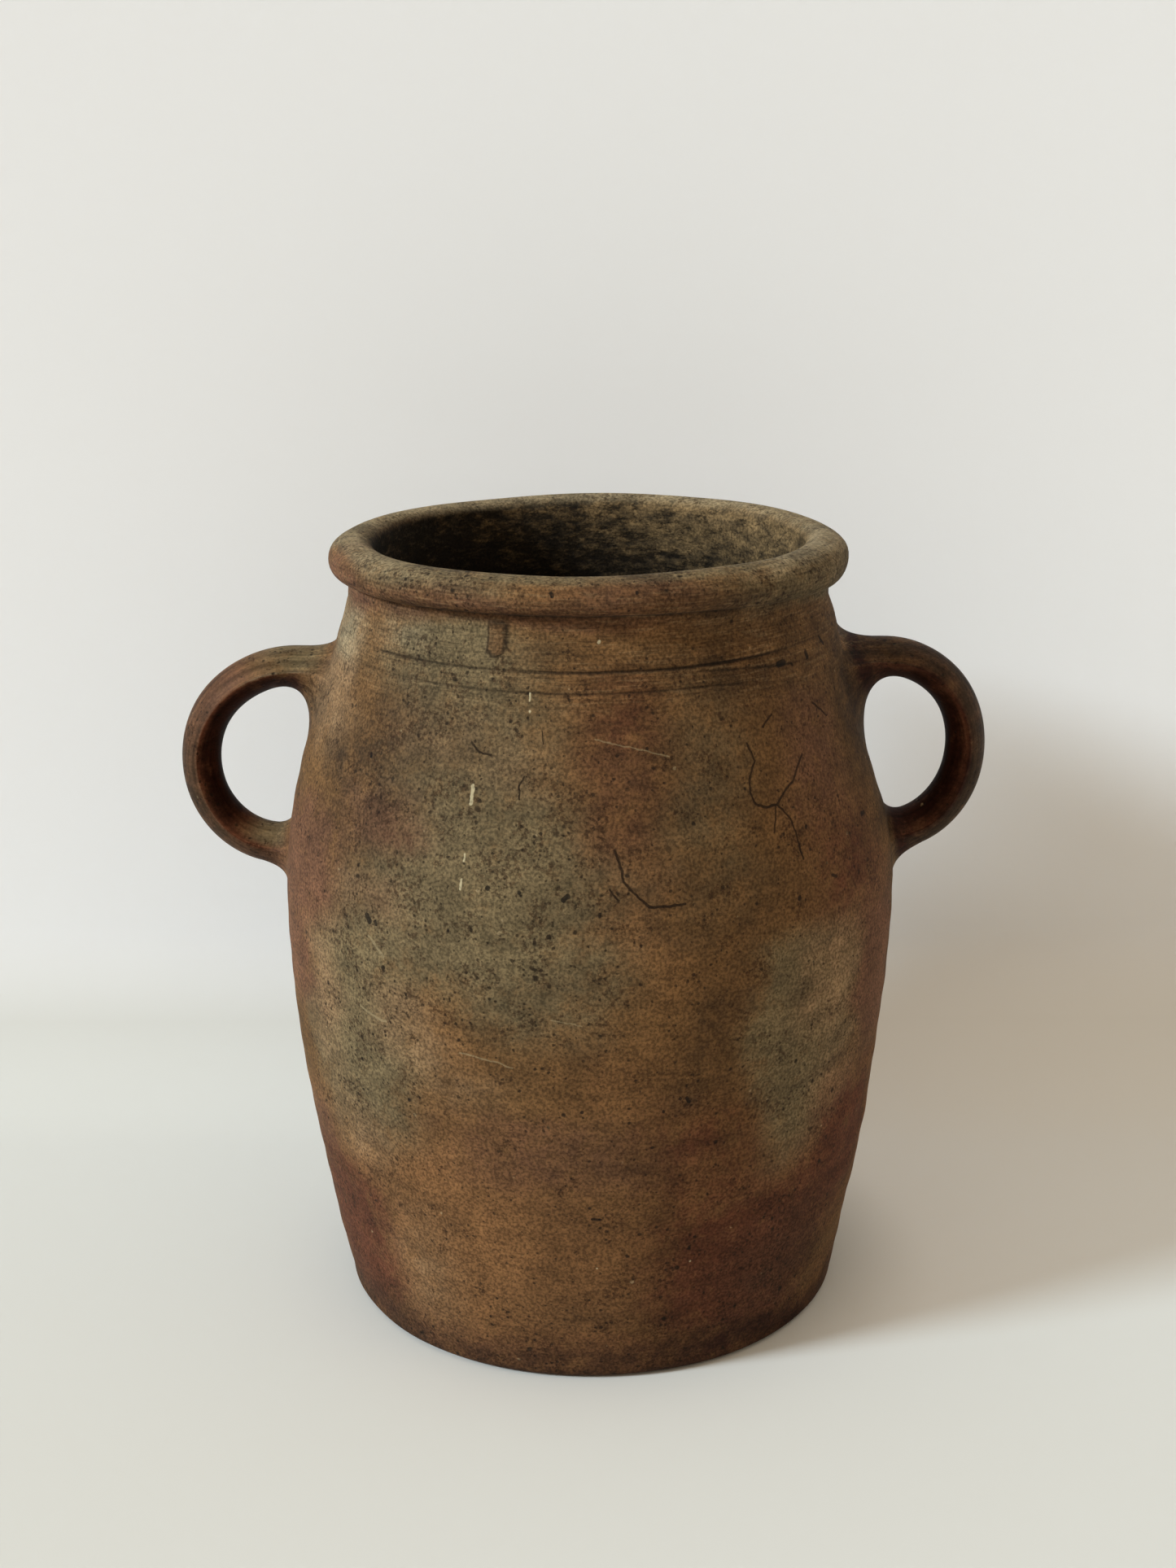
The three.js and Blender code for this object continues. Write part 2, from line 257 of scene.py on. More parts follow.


# Where flame, ash and smoke touched the clay, and a few patches of painted shade by the right handle's
# roots and the right front of the foot: finish, angle, height, half-width in degrees, half-height in
# mm, strength, and softness of the edge. The back is not seen in the photograph, so its patches are
# invented.
FIRING = (
    ("ash", -25, 190, 18, 30, 0.7, 0.5),
    ("ash", -20, 152, 24, 24, 1.0, 0.45),
    ("ash", -47, 122, 14, 24, 0.9, 0.5),
    ("ash", -48, 94, 14, 20, 1.0, 0.5),
    ("ash", -8, 122, 12, 10, 0.6, 0.6),
    ("ash", -32, 219, 13, 7, 1.0, 0.3),
    ("ash", -38, 209, 18, 5, 0.5, 0.5),
    ("ash", 43, 116, 14, 22, 1.0, 0.35),
    ("ash", 41, 84, 9, 18, 0.9, 0.4),
    ("ash", 23, 180, 9, 30, 0.45, 0.6),
    ("ash", -38, 239, 20, 4, 0.8, 0.5),
    ("ash", 66, 234, 36, 8, 0.9, 0.4),
    ("pale", -70, 240, 40, 3, 0.5, 0.5),
    ("pale", 74, 240, 32, 3, 0.7, 0.5),
    ("pale", -72, 216, 12, 8, 0.7, 0.5),
    ("pale", 180, 239, 60, 3, 1.0, 0.5),
    ("pale", -45, 222, 8, 7, 0.4, 0.6),
    ("ash", 110, 150, 24, 45, 0.8, 0.6),
    ("ash", 160, 90, 26, 38, 0.9, 0.5),
    ("ash", -140, 175, 22, 40, 0.8, 0.6),
    ("ash", -115, 60, 20, 30, 0.7, 0.6),
    ("flash", -68, 150, 16, 15, 1.0, 0.4),
    ("flash", -74, 122, 13, 18, 0.9, 0.4),
    ("flash", -42, 171, 10, 9, 0.7, 0.5),
    ("plum", -60, 28, 15, 28, 1.0, 0.45),
    ("flash", -66, 62, 9, 14, 0.7, 0.5),
    ("flash", 68, 116, 10, 26, 1.0, 0.35),
    ("plum", 56, 154, 12, 15, 0.7, 0.7),
    ("flash", 52, 186, 11, 18, 0.7, 0.5),
    ("plum", 33, 34, 19, 26, 1.0, 0.5),
    ("plum", 60, 60, 14, 24, 0.9, 0.5),
    ("plum", 20, 80, 11, 14, 0.6, 0.8),
    ("flash", -6, 78, 22, 11, 0.5, 0.5),
    ("plum", 7, 203, 9, 10, 0.55, 0.7),
    ("plum", 6, 180, 8, 18, 0.4, 0.4),
    ("flash", -70, 230, 12, 7, 0.8, 0.5),
    ("plum", 130, 60, 26, 34, 0.9, 0.5),
    ("flash", 175, 170, 24, 34, 0.8, 0.5),
    ("flash", -130, 115, 20, 24, 0.9, 0.4),
    ("flash", -170, 35, 22, 26, 0.7, 0.5),
    ("ochre", 5, 160, 10, 30, 0.8, 0.5),
    ("ochre", -15, 40, 30, 36, 1.0, 0.4),
    ("ochre", -40, 52, 12, 30, 0.7, 0.5),
    ("tan", -72, 208, 11, 18, 1.0, 0.4),
    ("tan", 64, 105, 6, 25, 0.4, 0.6),
    ("tan", -56, 112, 6, 26, 0.6, 0.6),
    ("tan", -42, 149, 8, 6, 0.7, 0.6),
    ("tan", 48, 124, 10, 14, 0.55, 0.5),
    ("tan", -38, 28, 10, 22, 0.4, 0.6),
    ("tan", -34, 113, 8, 9, 0.6, 0.6),
    ("tan", 52, 82, 7, 11, 0.8, 0.6),
    ("tan", -30, 194, 10, 8, 0.45, 0.7),
    ("tan", -12, 186, 7, 7, 0.35, 0.7),
    ("tan", -48, 70, 8, 10, 0.5, 0.7),
    ("tan", -23, 96, 10, 8, 0.4, 0.7),
    ("tan", -62, 188, 8, 9, 0.5, 0.7),
    ("tan", 50, 106, 7, 9, 0.4, 0.7),
    ("tan", 57, 133, 7, 9, 0.4, 0.7),
    ("ochre", 30, 64, 8, 9, 0.6, 0.6),
    ("ochre", 3, 232, 24, 6, 1.0, 0.5),
    ("ochre", -56, 138, 8, 20, 0.9, 0.5),
    ("ochre", -28, 110, 8, 8, 0.4, 0.6),
    ("ochre", -40, 196, 5, 5, 0.7, 0.6),
    ("ochre", 5, 100, 12, 12, 0.5, 0.6),
    ("ochre", 42, 66, 10, 8, 0.7, 0.6),
    ("ochre", 85, 60, 16, 40, 0.8, 0.6),
    ("ochre", 150, 205, 26, 22, 0.8, 0.6),
    ("ochre", -150, 70, 22, 34, 0.9, 0.6),
    ("ochre", -100, 200, 20, 24, 0.7, 0.6),
    ("smoke", -36, 186, 22, 26, 0.28, 0.8),
    ("smoke", 0, 196, 30, 14, 0.2, 0.8),
    ("smoke", 55, 190, 26, 26, 0.25, 0.8),
    ("smoke", 22, 112, 6, 13, 0.4, 0.6),
    ("smoke", 24, 131, 8, 10, 0.3, 0.7),
    ("smoke", 24, 150, 10, 10, 0.3, 0.6),
    ("smoke", 38, 214, 17, 12, 0.45, 0.7),
    ("smoke", 10, 232, 55, 6, 0.35, 0.5),
    ("flash", -20, 231, 50, 5, 0.6, 0.5),
    ("smoke", 6, 45, 10, 40, 0.2, 0.8),
    # Painted shade: these four patches darken the wall round the right handle's roots.
    ("char", 86, 190, 9, 9, 0.5, 0.6),
    ("char", 90, 151, 9, 8, 0.5, 0.6),
    ("smoke", 88, 196, 14, 14, 0.6, 0.6),
    ("smoke", 90, 148, 14, 12, 0.6, 0.6),
    ("smoke", 18, 96, 5, 5, 0.35, 0.6),
    ("smoke", -6, 130, 8, 6, 0.3, 0.6),
    ("smoke", 44, 30, 16, 20, 0.45, 0.6),
    ("smoke", 76, 190, 16, 34, 0.4, 0.6),
    ("smoke", -58, 184, 6, 8, 0.3, 0.6),
    ("smoke", 52, 93, 4, 2, 0.5, 0.6),
    ("smoke", -51, 164, 9, 18, 0.35, 0.7),
    ("smoke", 4, 157, 12, 12, 0.35, 0.7),
    ("smoke", -43, 192, 8, 14, 0.35, 0.7),
    ("smoke", -36, 145, 10, 18, 0.25, 0.8),
    ("smoke", 18, 182, 10, 12, 0.25, 0.7),
    ("smoke", -84, 192, 10, 12, 0.45, 0.7),
    ("smoke", -3, 113, 10, 9, 0.25, 0.7),
    ("smoke", 4, 186, 8, 10, 0.22, 0.7),
    ("smoke", 2, 82, 10, 8, 0.2, 0.7),
    ("smoke", 0, 68, 14, 10, 0.22, 0.8),
    ("smoke", 2, 22, 20, 10, 0.25, 0.7),
    # Painted shade: darkens the foot's right front, where the pot's shadow meets the floor.
    ("char", 40, 4, 26, 9, 0.6, 0.5),
    ("smoke", 120, 105, 12, 18, 0.6, 0.6),
    ("smoke", -160, 130, 14, 20, 0.6, 0.6),
)
FINISHES = ("ochre", "ash", "tan", "pale", "flash", "plum", "smoke", "char")

# How far an uneven field shifts the patches, in radians round the pot and mm up it, and how far a
# patch's softness reaches to both sides of its edge.
SHIFT_TURN = 0.025
SHIFT_RISE = 2.2
SOFT_REACH = 1.5

# The foot's darkening towards the bottom and its red: the heights between which they fade out, how far
# these follow the shifted patches, and how strong each is. The ash on the rim's top: its heights and
# how strong it is. The painted shade in the crease under the rim: half-height, how strong it is, how
# much weaker on the right, and the angles between which it weakens.
FOOT_FADE = (27, 2)
FOOT_SHIFT = 0.8
FOOT_DARKENING = 0.5
FOOT_RED = 0.6
RIM_RISE = (237.5, 239.5)
RIM_ASH = 0.85
CREASE_HALF = 0.8
CREASE_SHADE = 0.9
CREASE_WEAKER = 0.5
CREASE_ANGLES = (10, 50)


def firing(angle, height):
    """How far each finish covers the wall at a place, 0 to 1: every patch is a smoothstep of the
    distance from its middle in its own half-sizes (the cube root of the sum of cubes, so patches are
    a little square), on places shifted by a few mm of ripple, and patches of one finish join as 1
    minus the product of what each leaves bare. The foot is red and darker towards the bottom, ash lies
    on the rim's top, and painted shade darkens the crease under it."""
    shifted = angle + SHIFT_TURN * ripple(angle, height, 21, 9, 22)
    raised = height + SHIFT_RISE * ripple(angle, height, 22, 9, 22)
    bare = {finish: np.ones(np.broadcast(angle, height).shape) for finish in FINISHES}
    for finish, at, level, wide, tall, strength, soft in FIRING:
        away = np.cbrt(np.abs(turn_from(shifted, at) / wide) ** 3 + np.abs((raised - level) / tall) ** 3)
        reach = SOFT_REACH * soft
        bare[finish] *= 1 - strength * smooth(1 + reach, 1 - reach, away)
    covered = {finish: 1 - bare[finish] for finish in FINISHES}
    # The foot is darkened towards the bottom, through the smoke cover.
    foot = smooth(*FOOT_FADE, height + FOOT_SHIFT * (raised - height))
    # Painted shade in the crease under the rim, added to the smoke cover.
    crease = bell(height - NECK_HEIGHT - NECK_COLLAR, CREASE_HALF)
    crease = crease * (CREASE_SHADE - CREASE_WEAKER * smooth(*CREASE_ANGLES, turn_from(angle, 0)))
    covered["smoke"] = np.maximum(covered["smoke"], np.maximum(FOOT_DARKENING * foot, crease))
    covered["plum"] = np.maximum(covered["plum"], FOOT_RED * foot)
    covered["ash"] = np.maximum(covered["ash"], RIM_ASH * smooth(*RIM_RISE, height))
    return covered


def write_piece(name, grid, poles, values, node, material):
    """Writes one closed piece. The grid's rows of points wrap round, each row is joined to the next
    by four-sided faces, and the first and last rows are drawn to a pole by triangles. The UV map has
    the columns across and the rows up, by their mean distance along the piece. Values are per point,
    for the material. The faces' corners are reversed if the volume (a sixth of the sum of the triple
    products of the corners) comes out negative, so the faces point outwards."""
    rows, columns = grid.shape[:2]
    points = np.concatenate([grid.reshape(-1, 3), np.asarray(poles, float)])
    here = np.arange(rows * columns).reshape(rows, columns)
    beside = np.roll(here, -1, axis=1)
    quads = np.stack([here[:-1], beside[:-1], beside[1:], here[1:]], -1).reshape(-1, 4)
    first = np.stack([np.full(columns, rows * columns), beside[0], here[0]], -1)
    last = np.stack([np.full(columns, rows * columns + 1), here[-1], beside[-1]], -1)
    triangles = np.concatenate([quads[:, :3], quads[:, [0, 2, 3]], first, last])
    corner = points[triangles]
    volume = np.einsum("ij,ij->i", corner[:, 0], np.cross(corner[:, 1], corner[:, 2])).sum() / 6
    along = np.concatenate([[0], np.cumsum(np.linalg.norm(np.diff(grid, axis=0), axis=2).mean(1))])
    margin = 0.02
    v = margin + (1 - 2 * margin) * along / along[-1]
    u = np.arange(columns + 1) / columns
    u_quad = np.stack([u[:-1], u[1:], u[1:], u[:-1]], -1)[None].repeat(rows - 1, 0)
    v_quad = np.stack([v[:-1], v[:-1], v[1:], v[1:]], -1)[:, None].repeat(columns, 1)
    middle = (u[:-1] + u[1:]) / 2
    u_first = np.stack([middle, u[1:], u[:-1]], -1)
    v_first = np.tile([0, v[0], v[0]], (columns, 1))
    u_last = np.stack([middle, u[:-1], u[1:]], -1)
    v_last = np.tile([1, v[-1], v[-1]], (columns, 1))
    laid = [np.stack([u_quad, v_quad], -1).reshape(-1, 4, 2), np.stack([u_first, v_first], -1)]
    laid.append(np.stack([u_last, v_last], -1))
    faces = [quads, first, last]
    if volume < 0:
        faces = [face[:, ::-1] for face in faces]
        laid = [sheet[:, ::-1] for sheet in laid]
    loops = np.concatenate([face.ravel() for face in faces])
    sizes = np.concatenate([np.full(len(face), face.shape[1]) for face in faces])
    mesh = bpy.data.meshes.new(name)
    mesh.vertices.add(len(points))
    mesh.vertices.foreach_set("co", (points * MM).astype(np.float32).ravel())
    mesh.loops.add(len(loops))
    mesh.loops.foreach_set("vertex_index", loops.astype(np.int32))
    mesh.polygons.add(len(sizes))
    starts = np.concatenate([[0], np.cumsum(sizes)[:-1]])
    mesh.polygons.foreach_set("loop_start", starts.astype(np.int32))
    mesh.polygons.foreach_set("use_smooth", np.ones(len(sizes), bool))
    mesh.update(calc_edges=True)
    uv = mesh.uv_layers.new(name="OFBake")
    spread = np.concatenate([sheet.reshape(-1, 2) for sheet in laid])
    uv.data.foreach_set("uv", spread.astype(np.float32).ravel())
    for key, value in values.items():
        full = np.broadcast_to(value, (rows, columns))
        full = np.concatenate([full.ravel(), [full[0].mean(), full[-1].mean()]])
        mesh.attributes.new(key, "FLOAT", "POINT").data.foreach_set("value", full.astype(np.float32))
    mesh.materials.append(material)
    piece = bpy.data.objects.new(name, mesh)
    bpy.context.scene.collection.objects.link(piece)
    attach(piece, "root")
    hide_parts(node)


def body_section():
    """Rows of the turned section as (radius, height, share inside): flat base, quarter-round foot,
    wall, straight collar, the bead's lower and upper quarter ellipses, the lip's quarter ellipse, the
    inner wall one wall thickness in, a quarter-round corner and the floor."""
    quarter = partial(np.linspace, 0, math.pi / 2)
    bead = NECK_HEIGHT + NECK_COLLAR + BEAD_LOWER
    crest = NECK_RADIUS + BEAD_OVERHANG - CREST_INSET
    mouth = NECK_RADIUS - WALL
    corner = FLOOR + FLOOR_FILLET
    base = np.linspace(0, FOOT_RADIUS - FOOT_ROUND, 6)[1:]
    foot = quarter(9)[1:]
    below, above = np.linspace(FOOT_ROUND, LINES_FROM, 104)[1:], np.linspace(LINES_TO, NECK_HEIGHT, 8)
    wall = np.concatenate([below, np.arange(*LINE_ROWS), above])
    collar = np.linspace(NECK_HEIGHT, NECK_HEIGHT + NECK_COLLAR, 11)[1:]
    under, over, lip = quarter(11)[1:], quarter(10)[1:], quarter(9)[1:]
    inner = np.linspace(RIM_HEIGHT - LIP_DROP, corner, 35)[1:]
    fillet, floor = quarter(8)[1:], np.linspace(1, 0, 6)[1:-1]
    inner_corner = float(wall_radius(corner)) - WALL
    round_in, round_down = FLOOR_FILLET * (1 - np.cos(fillet)), FLOOR_FILLET * np.sin(fillet)
    lip_down = LIP_DROP * (1 - np.cos(lip))
    section = [
        (base, 0 * base, 0 * base),
        (FOOT_RADIUS - FOOT_ROUND * (1 - np.sin(foot)), FOOT_ROUND * (1 - np.cos(foot)), 0 * foot),
        (wall_radius(wall), wall, 0 * wall),
        (NECK_RADIUS + 0 * collar, collar, 0 * collar),
        (NECK_RADIUS + BEAD_OVERHANG * np.sin(under), bead - BEAD_LOWER * np.cos(under), 0 * under),
        (crest + CREST_INSET * np.cos(over), bead + BEAD_UPPER * np.sin(over), 0 * over),
        (crest - (crest - mouth) * np.sin(lip), RIM_HEIGHT - lip_down, np.sin(lip) ** 2.5),
        (wall_radius(inner) - WALL, inner, 1 + 0 * inner),
        (inner_corner - round_in, corner - round_down, 1 + 0 * fillet),
        ((inner_corner - FLOOR_FILLET) * floor, FLOOR + 0 * floor, 1 + 0 * floor),
    ]
    return [np.concatenate(parts)[:, None] for parts in zip(*section)]


# The finger ridges inside: depth, pitch, and how their spiral wavers (radians, seed, most waves round
# the pot, shortest wave up it). The rim's wave round the pot: mm, waves and phase. Its sag at the
# sides: mm, mm more on the right, and half-height. Inside the calm radius the marks fade out towards
# the middle of base and floor. Painted shade in the tool lines: how far it fills a full cut, and how
# sharply it ends.
RIDGE_DEPTH = 0.5
RIDGE_PITCH = 8.5
RIDGE_WAVER = (2, 13, 3, 60)
RIM_WAVES = ((0.35, 1, 0.5), (0.25, 3, 1.0), (0.15, 7, 0.0))
RIM_SAG = (1.75, 0.95, 4.5)
CALM_RADIUS = 60
CUT_SHADE_FILL = 1.5
CUT_SHADE_SHARPNESS = 1.5


def thrown_body(material):
    """The pot: the section turned through a whole circle. Outside, each point is moved outwards by
    the hand marks and the slip run and inwards by the tool cuts, and inside by half the hand marks
    and by finger ridges (a cosine in height on a slow ripple). The rim is raised and lowered by a
    slow wave round it, and its bead sags at the sides (the sine squared of the angle, in a bell about
    the crease)."""
    radius, height, inside = body_section()
    angle = np.linspace(-math.pi, math.pi, BODY_COLUMNS, endpoint=False)[None]
    rim = smooth(NECK_HEIGHT, RIM_HEIGHT, height)
    turn, *field = RIDGE_WAVER
    waver = turn * ripple(angle, height, *field)
    ridges = RIDGE_DEPTH * np.cos(2 * math.pi * height / RIDGE_PITCH + angle + waver)
    outside = hand_marks(angle, height) + (1 - rim) * RUN_THICKNESS * slip_run(angle, height)
    outside = outside - tool_cuts(angle, height)
    within = 0.5 * hand_marks(angle, height) + ridges
    moved = np.where(inside < 1, outside, within) * smooth(0, CALM_RADIUS, radius)
    wave = -rim * sum(much * np.cos(waves * angle + phase) for much, waves, phase in RIM_WAVES)
    sides, right, half = RIM_SAG
    sag = np.sin(angle) ** 2 * (sides + right * np.sin(angle))
    sag = sag * bell(height - NECK_HEIGHT - NECK_COLLAR, half) * (inside == 0)
    radial = radius + moved
    grid = np.stack([radial * np.sin(angle), -radial * np.cos(angle), height + wave - sag], -1)
    values = firing(angle, height)
    values["inside"] = inside
    values["run"] = slip_run(angle, height) * (inside == 0)
    depth = tool_cuts(angle, height) / LINE_DEPTH
    values["cut"] = np.minimum(CUT_SHADE_FILL * depth, 1) ** CUT_SHADE_SHARPNESS * (inside == 0)
    poles = [(0, 0, 0), (0, 0, FLOOR)]
    write_piece("pot_body", grid, poles, values, "thrown_body", material)


def strap_line(handle):
    """Points (distance from the axis, height) of a strap's middle line: straight out of the wall, a
    quarter ellipse to the outermost point, a quarter ellipse back, and straight into the wall. Also
    the length along it."""
    upper = NECK_HEIGHT - handle["drop"]
    lower = upper - handle["span"]
    middle = lower + handle["rise"]
    reach = float(wall_radius(middle)) + handle["room"] + STRAP_THICKNESS[0] / 2
    bends = [float(wall_radius(level)) + run for level, run in zip((upper, lower), handle["runs"])]
    t = np.linspace(0, math.pi / 2, 200)
    starts = [float(wall_radius(level)) - STRAP_EMBED for level in (upper, lower)]
    out = np.stack([np.linspace(starts[0], bends[0], 40), np.full(40, upper)], -1)
    swing = [reach - bend for bend in bends]
    round_ = np.stack([bends[0] + swing[0] * np.sin(t), middle + (upper - middle) * np.cos(t)], -1)
    back = np.stack([bends[1] + swing[1] * np.cos(t), middle - (middle - lower) * np.sin(t)], -1)
    home = np.stack([np.linspace(bends[1], starts[1], 40), np.full(40, lower)], -1)
    line = np.concatenate([out[:-1], round_[:-1], back[:-1], home])
    length = np.concatenate([[0], np.cumsum(np.linalg.norm(np.diff(line, axis=0), axis=1))])
    return line, length


def strap_point(handle, share, section):
    """Points of a strap's face at a share of its length and an angle round its section. The middle
    line gives the place and the direction. Across the pot the face is half the width times the
    cosine, and square to the line half the thickness times the sine, drawn in near the edges by a
    power of the sine, which leaves a soft ridge. Width and thickness taper along the line and swell a
    little, as pulled clay does. Also the line's direction there."""
    line, length = strap_line(handle)
    s = share * length[-1]
    place = [np.interp(s, length, line[:, i]) for i in (0, 1)]
    step = 0.6
    ahead = [np.interp(s + step, length, line[:, i]) for i in (0, 1)]
    behind = [np.interp(s - step, length, line[:, i]) for i in (0, 1)]
    run = np.stack([ahead[0] - behind[0], ahead[1] - behind[1]])
    run = run / np.linalg.norm(run, axis=0)
    swell = 1 + 0.02 * np.sin(9 * share + handle["side"]) + 0.012 * np.sin(23 * share + 3 * section)
    wide = swell * (STRAP_WIDTH[0] + (STRAP_WIDTH[1] - STRAP_WIDTH[0]) * share) / 2
    thick = swell * (STRAP_THICKNESS[0] + (STRAP_THICKNESS[1] - STRAP_THICKNESS[0]) * share) / 2
    rise = thick * np.sin(section) * np.abs(np.sin(section)) ** STRAP_RIDGE
    out = place[0] - run[1] * rise
    across = wide * np.cos(section) + 0 * rise
    point = np.stack([handle["side"] * out, across, place[1] + run[0] * rise], -1)
    direction = np.stack([handle["side"] * run[0] + 0 * rise, 0 * rise, run[1] + 0 * rise], -1)
    return point, direction


def strap_finish(handle, share, section):
    """How far each finish covers a strap, 0 to 1, from the share of its length and the angle round
    it. The hole side is red, and burnt dark round the bend. The outer side has ash by the upper end
    and soot from there down, the hole side has ash by the lower end, and the two edges carry a pale
    painted highlight in places. Each is a smoothstep or a bell in the share of the length (0 at the
    upper end) and in the share of the way round (0 outside, 1 in the hole)."""
    hole = (1 - np.sin(section)) / 2
    bend = smooth(0.1, 0.3, share) * smooth(*handle["burnt_end"], share)
    # Painted highlight along the strap's two edges, at the upper bend and near the lower root.
    edge = bell(1 - np.abs(np.cos(section)), 0.02)
    upper_ash = smooth(0.4, 0.14, share) * (1 - 0.6 * hole)
    lower_ash = smooth(0.7, 0.84, share) * smooth(0.45, 0.8, hole)
    ash = handle["ash"] * np.maximum(upper_ash, lower_ash)
    soot = handle["soot"] * smooth(*handle["soot_edge"], hole)
    burnt = np.maximum(smooth(*handle["burnt"], hole), handle["burnt_ridge"] * bell(hole - 0.5, 0.19))
    return {
        "ochre": 0.0,
        "ash": ash,
        "tan": 0.0,
        "pale": edge * (0.9 * bell(share - 0.27, 0.08) + 0.7 * bell(share - 0.86, 0.05)),
        "flash": (1 - 0.4 * hole) * smooth(0.1, 0.35, share) * (1 - ash),
        "plum": 0.9 * smooth(0.3, 0.6, hole) * smooth(0.05, 0.25, share) * (1 - ash),
        "smoke": soot * bell(share - 0.66, handle["sooted"]),
        "char": burnt * bend,
    }


def handle_strap(name, handle, material):
    """One strap: its section carried along its line, closed at both ends a seat's depth inside the
    wall."""
    _, length = strap_line(handle)
    spare = (STRAP_EMBED - STRAP_SEAT) / length[-1]
    share = np.linspace(spare, 1 - spare, STRAP_ROWS)[:, None]
    section = np.linspace(0, 2 * math.pi, STRAP_COLUMNS, endpoint=False)[None]
    grid, _ = strap_point(handle, share, section)
    poles = [grid[0].mean(0), grid[-1].mean(0)]
    values = strap_finish(handle, share, section)
    values.update(inside=0.0, run=0.0, cut=0.0)
    values.update(across=np.cos(section), through=np.sin(section), along=share)
    write_piece(f"{name}_strap", grid, poles, values, f"{name}_handle", material)


def on_wall(side, across, height, sink):
    """Points of the real wall on one side of the pot at a distance across (Y) and a height: the angle
    is found by three rounds of x = root of (radius squared minus across squared)."""
    x = np.sqrt(np.maximum(wall_radius(height) ** 2 - across**2, 0))
    for _ in range(3):
        angle = np.arctan2(side * x, -across)
        radius = wall_radius(height) + hand_marks(angle, height) - sink
        x = np.sqrt(np.maximum(radius**2 - across**2, 0))
    return np.stack([side * x, across, height], -1)


def lute(name, handle, upper, size, material):
    """One lute: clay thumbed from the strap on to the wall. For each angle round the strap's section,
    a cubic Bezier leaves the strap along its own line and comes down on the wall along the wall: its
    ends are on the strap, a set length out, and on the wall, a set flare out from where strap and
    wall meet. Both ends are sunk a hair, and it is closed inside the strap and inside the wall."""
    _, length = strap_line(handle)
    section = np.linspace(0, 2 * math.pi, STRAP_COLUMNS, endpoint=False)[None]
    outer = (1 + np.sin(section)) / 2
    reach = size["length"][1] + (size["length"][0] - size["length"][1]) * outer
    flare = size["flare"][1] + (size["flare"][0] - size["flare"][1]) * outer
    root = STRAP_EMBED / length[-1]
    root = root if upper else 1 - root
    tip = root + (1 if upper else -1) * reach / length[-1]
    side = handle["side"]
    start, along = strap_point(handle, tip, section)
    heart = start.mean(1, keepdims=True)
    start = start + (heart - start) * LUTE_SINK / np.linalg.norm(heart - start, axis=-1, keepdims=True)
    along = along * (-1 if upper else 1)
    foot, _ = strap_point(handle, root + 0 * section, section)
    corner = on_wall(side, foot[..., 1], foot[..., 2], LUTE_SINK)
    middle = foot.mean(1, keepdims=True)
    away = (foot - middle)[..., 1:]
    away = away / np.linalg.norm(away, axis=-1, keepdims=True)
    spread = foot[..., 1:] + away * flare[..., None]
    edge = on_wall(side, spread[..., 0], spread[..., 1], 3 * LUTE_SINK)
    gap = np.linalg.norm(corner - start, axis=-1, keepdims=True)
    t = np.linspace(0, 1, LUTE_ROWS)[:, None, None]
    leave = start + LUTE_PULL[0] * gap * along
    land = edge + LUTE_PULL[1] * (corner - edge)
    skin = (1 - t) ** 3 * start + 3 * t * (1 - t) ** 2 * leave + 3 * t * t * (1 - t) * land + t**3 * edge
    outward = np.array([side, 0, 0])
    buried = edge - LUTE_BURIED * outward
    grid = np.concatenate([0.5 * (start + heart), skin, buried])
    poles = [grid[0].mean(0), buried[0].mean(0)]
    angle = np.arctan2(grid[..., 0], -grid[..., 1])
    blend = np.concatenate([[0.0], np.linspace(0, 1, LUTE_ROWS), [1.0]])[:, None]
    blend = smooth(*LUTE_BLEND, blend)
    wall_values = firing(angle, grid[..., 2])
    share = tip + (root - tip) * blend
    strap_values = strap_finish(handle, share, section)
    values = {key: strap_values[key] * (1 - blend) + wall_values[key] * blend for key in FINISHES}
    # Painted shade where the strap's root meets the wall, laid into the char cover.
    shade_at, shade_half = LUTE_ROOT_SHADE
    burnt = handle["root_shade"] * bell(blend - shade_at, shade_half)
    values["char"] = np.maximum(values["char"], burnt)
    values.update(inside=0.0, run=0.0, cut=0.0)
    values.update(across=np.cos(section), through=np.sin(section), along=share)
    write_piece(f"{name}_lute_clay", grid, poles, values, f"{name}_lute", material)


def linear(code):
    """Scene-linear colour, with alpha, of an sRGB hex code."""
    parts = [int(code[i : i + 2], 16) / 255 for i in (1, 3, 5)]
    return [c / 12.92 if c <= 0.04045 else ((c + 0.055) / 1.055) ** 2.4 for c in parts] + [1.0]


def add_node(tree, kind, settings, inputs, output=0):
    """Adds one node, sets its properties, fills its inputs (a socket is linked, anything else becomes
    the input's value) and returns the output socket asked for, if it has any."""
    made = tree.nodes.new("ShaderNode" + kind)
    for key, value in settings.items():
        setattr(made, key, value)
    for key, value in inputs.items():
        if isinstance(value, bpy.types.NodeSocket):
            tree.links.new(value, made.inputs[key])
        else:
            made.inputs[key].default_value = value
    return made.outputs[output] if made.outputs else None


# Settings that many nodes share.
BLEND = {"data_type": "RGBA"}
SOFT = {"interpolation_type": "SMOOTHSTEP"}
TIMES = {"operation": "MULTIPLY"}
PLUS = {"operation": "ADD"}
MINUS = {"operation": "SUBTRACT"}
TIMES_PLUS = {"operation": "MULTIPLY_ADD"}
LARGER = {"operation": "MAXIMUM"}
SCALED = {"operation": "SCALE"}

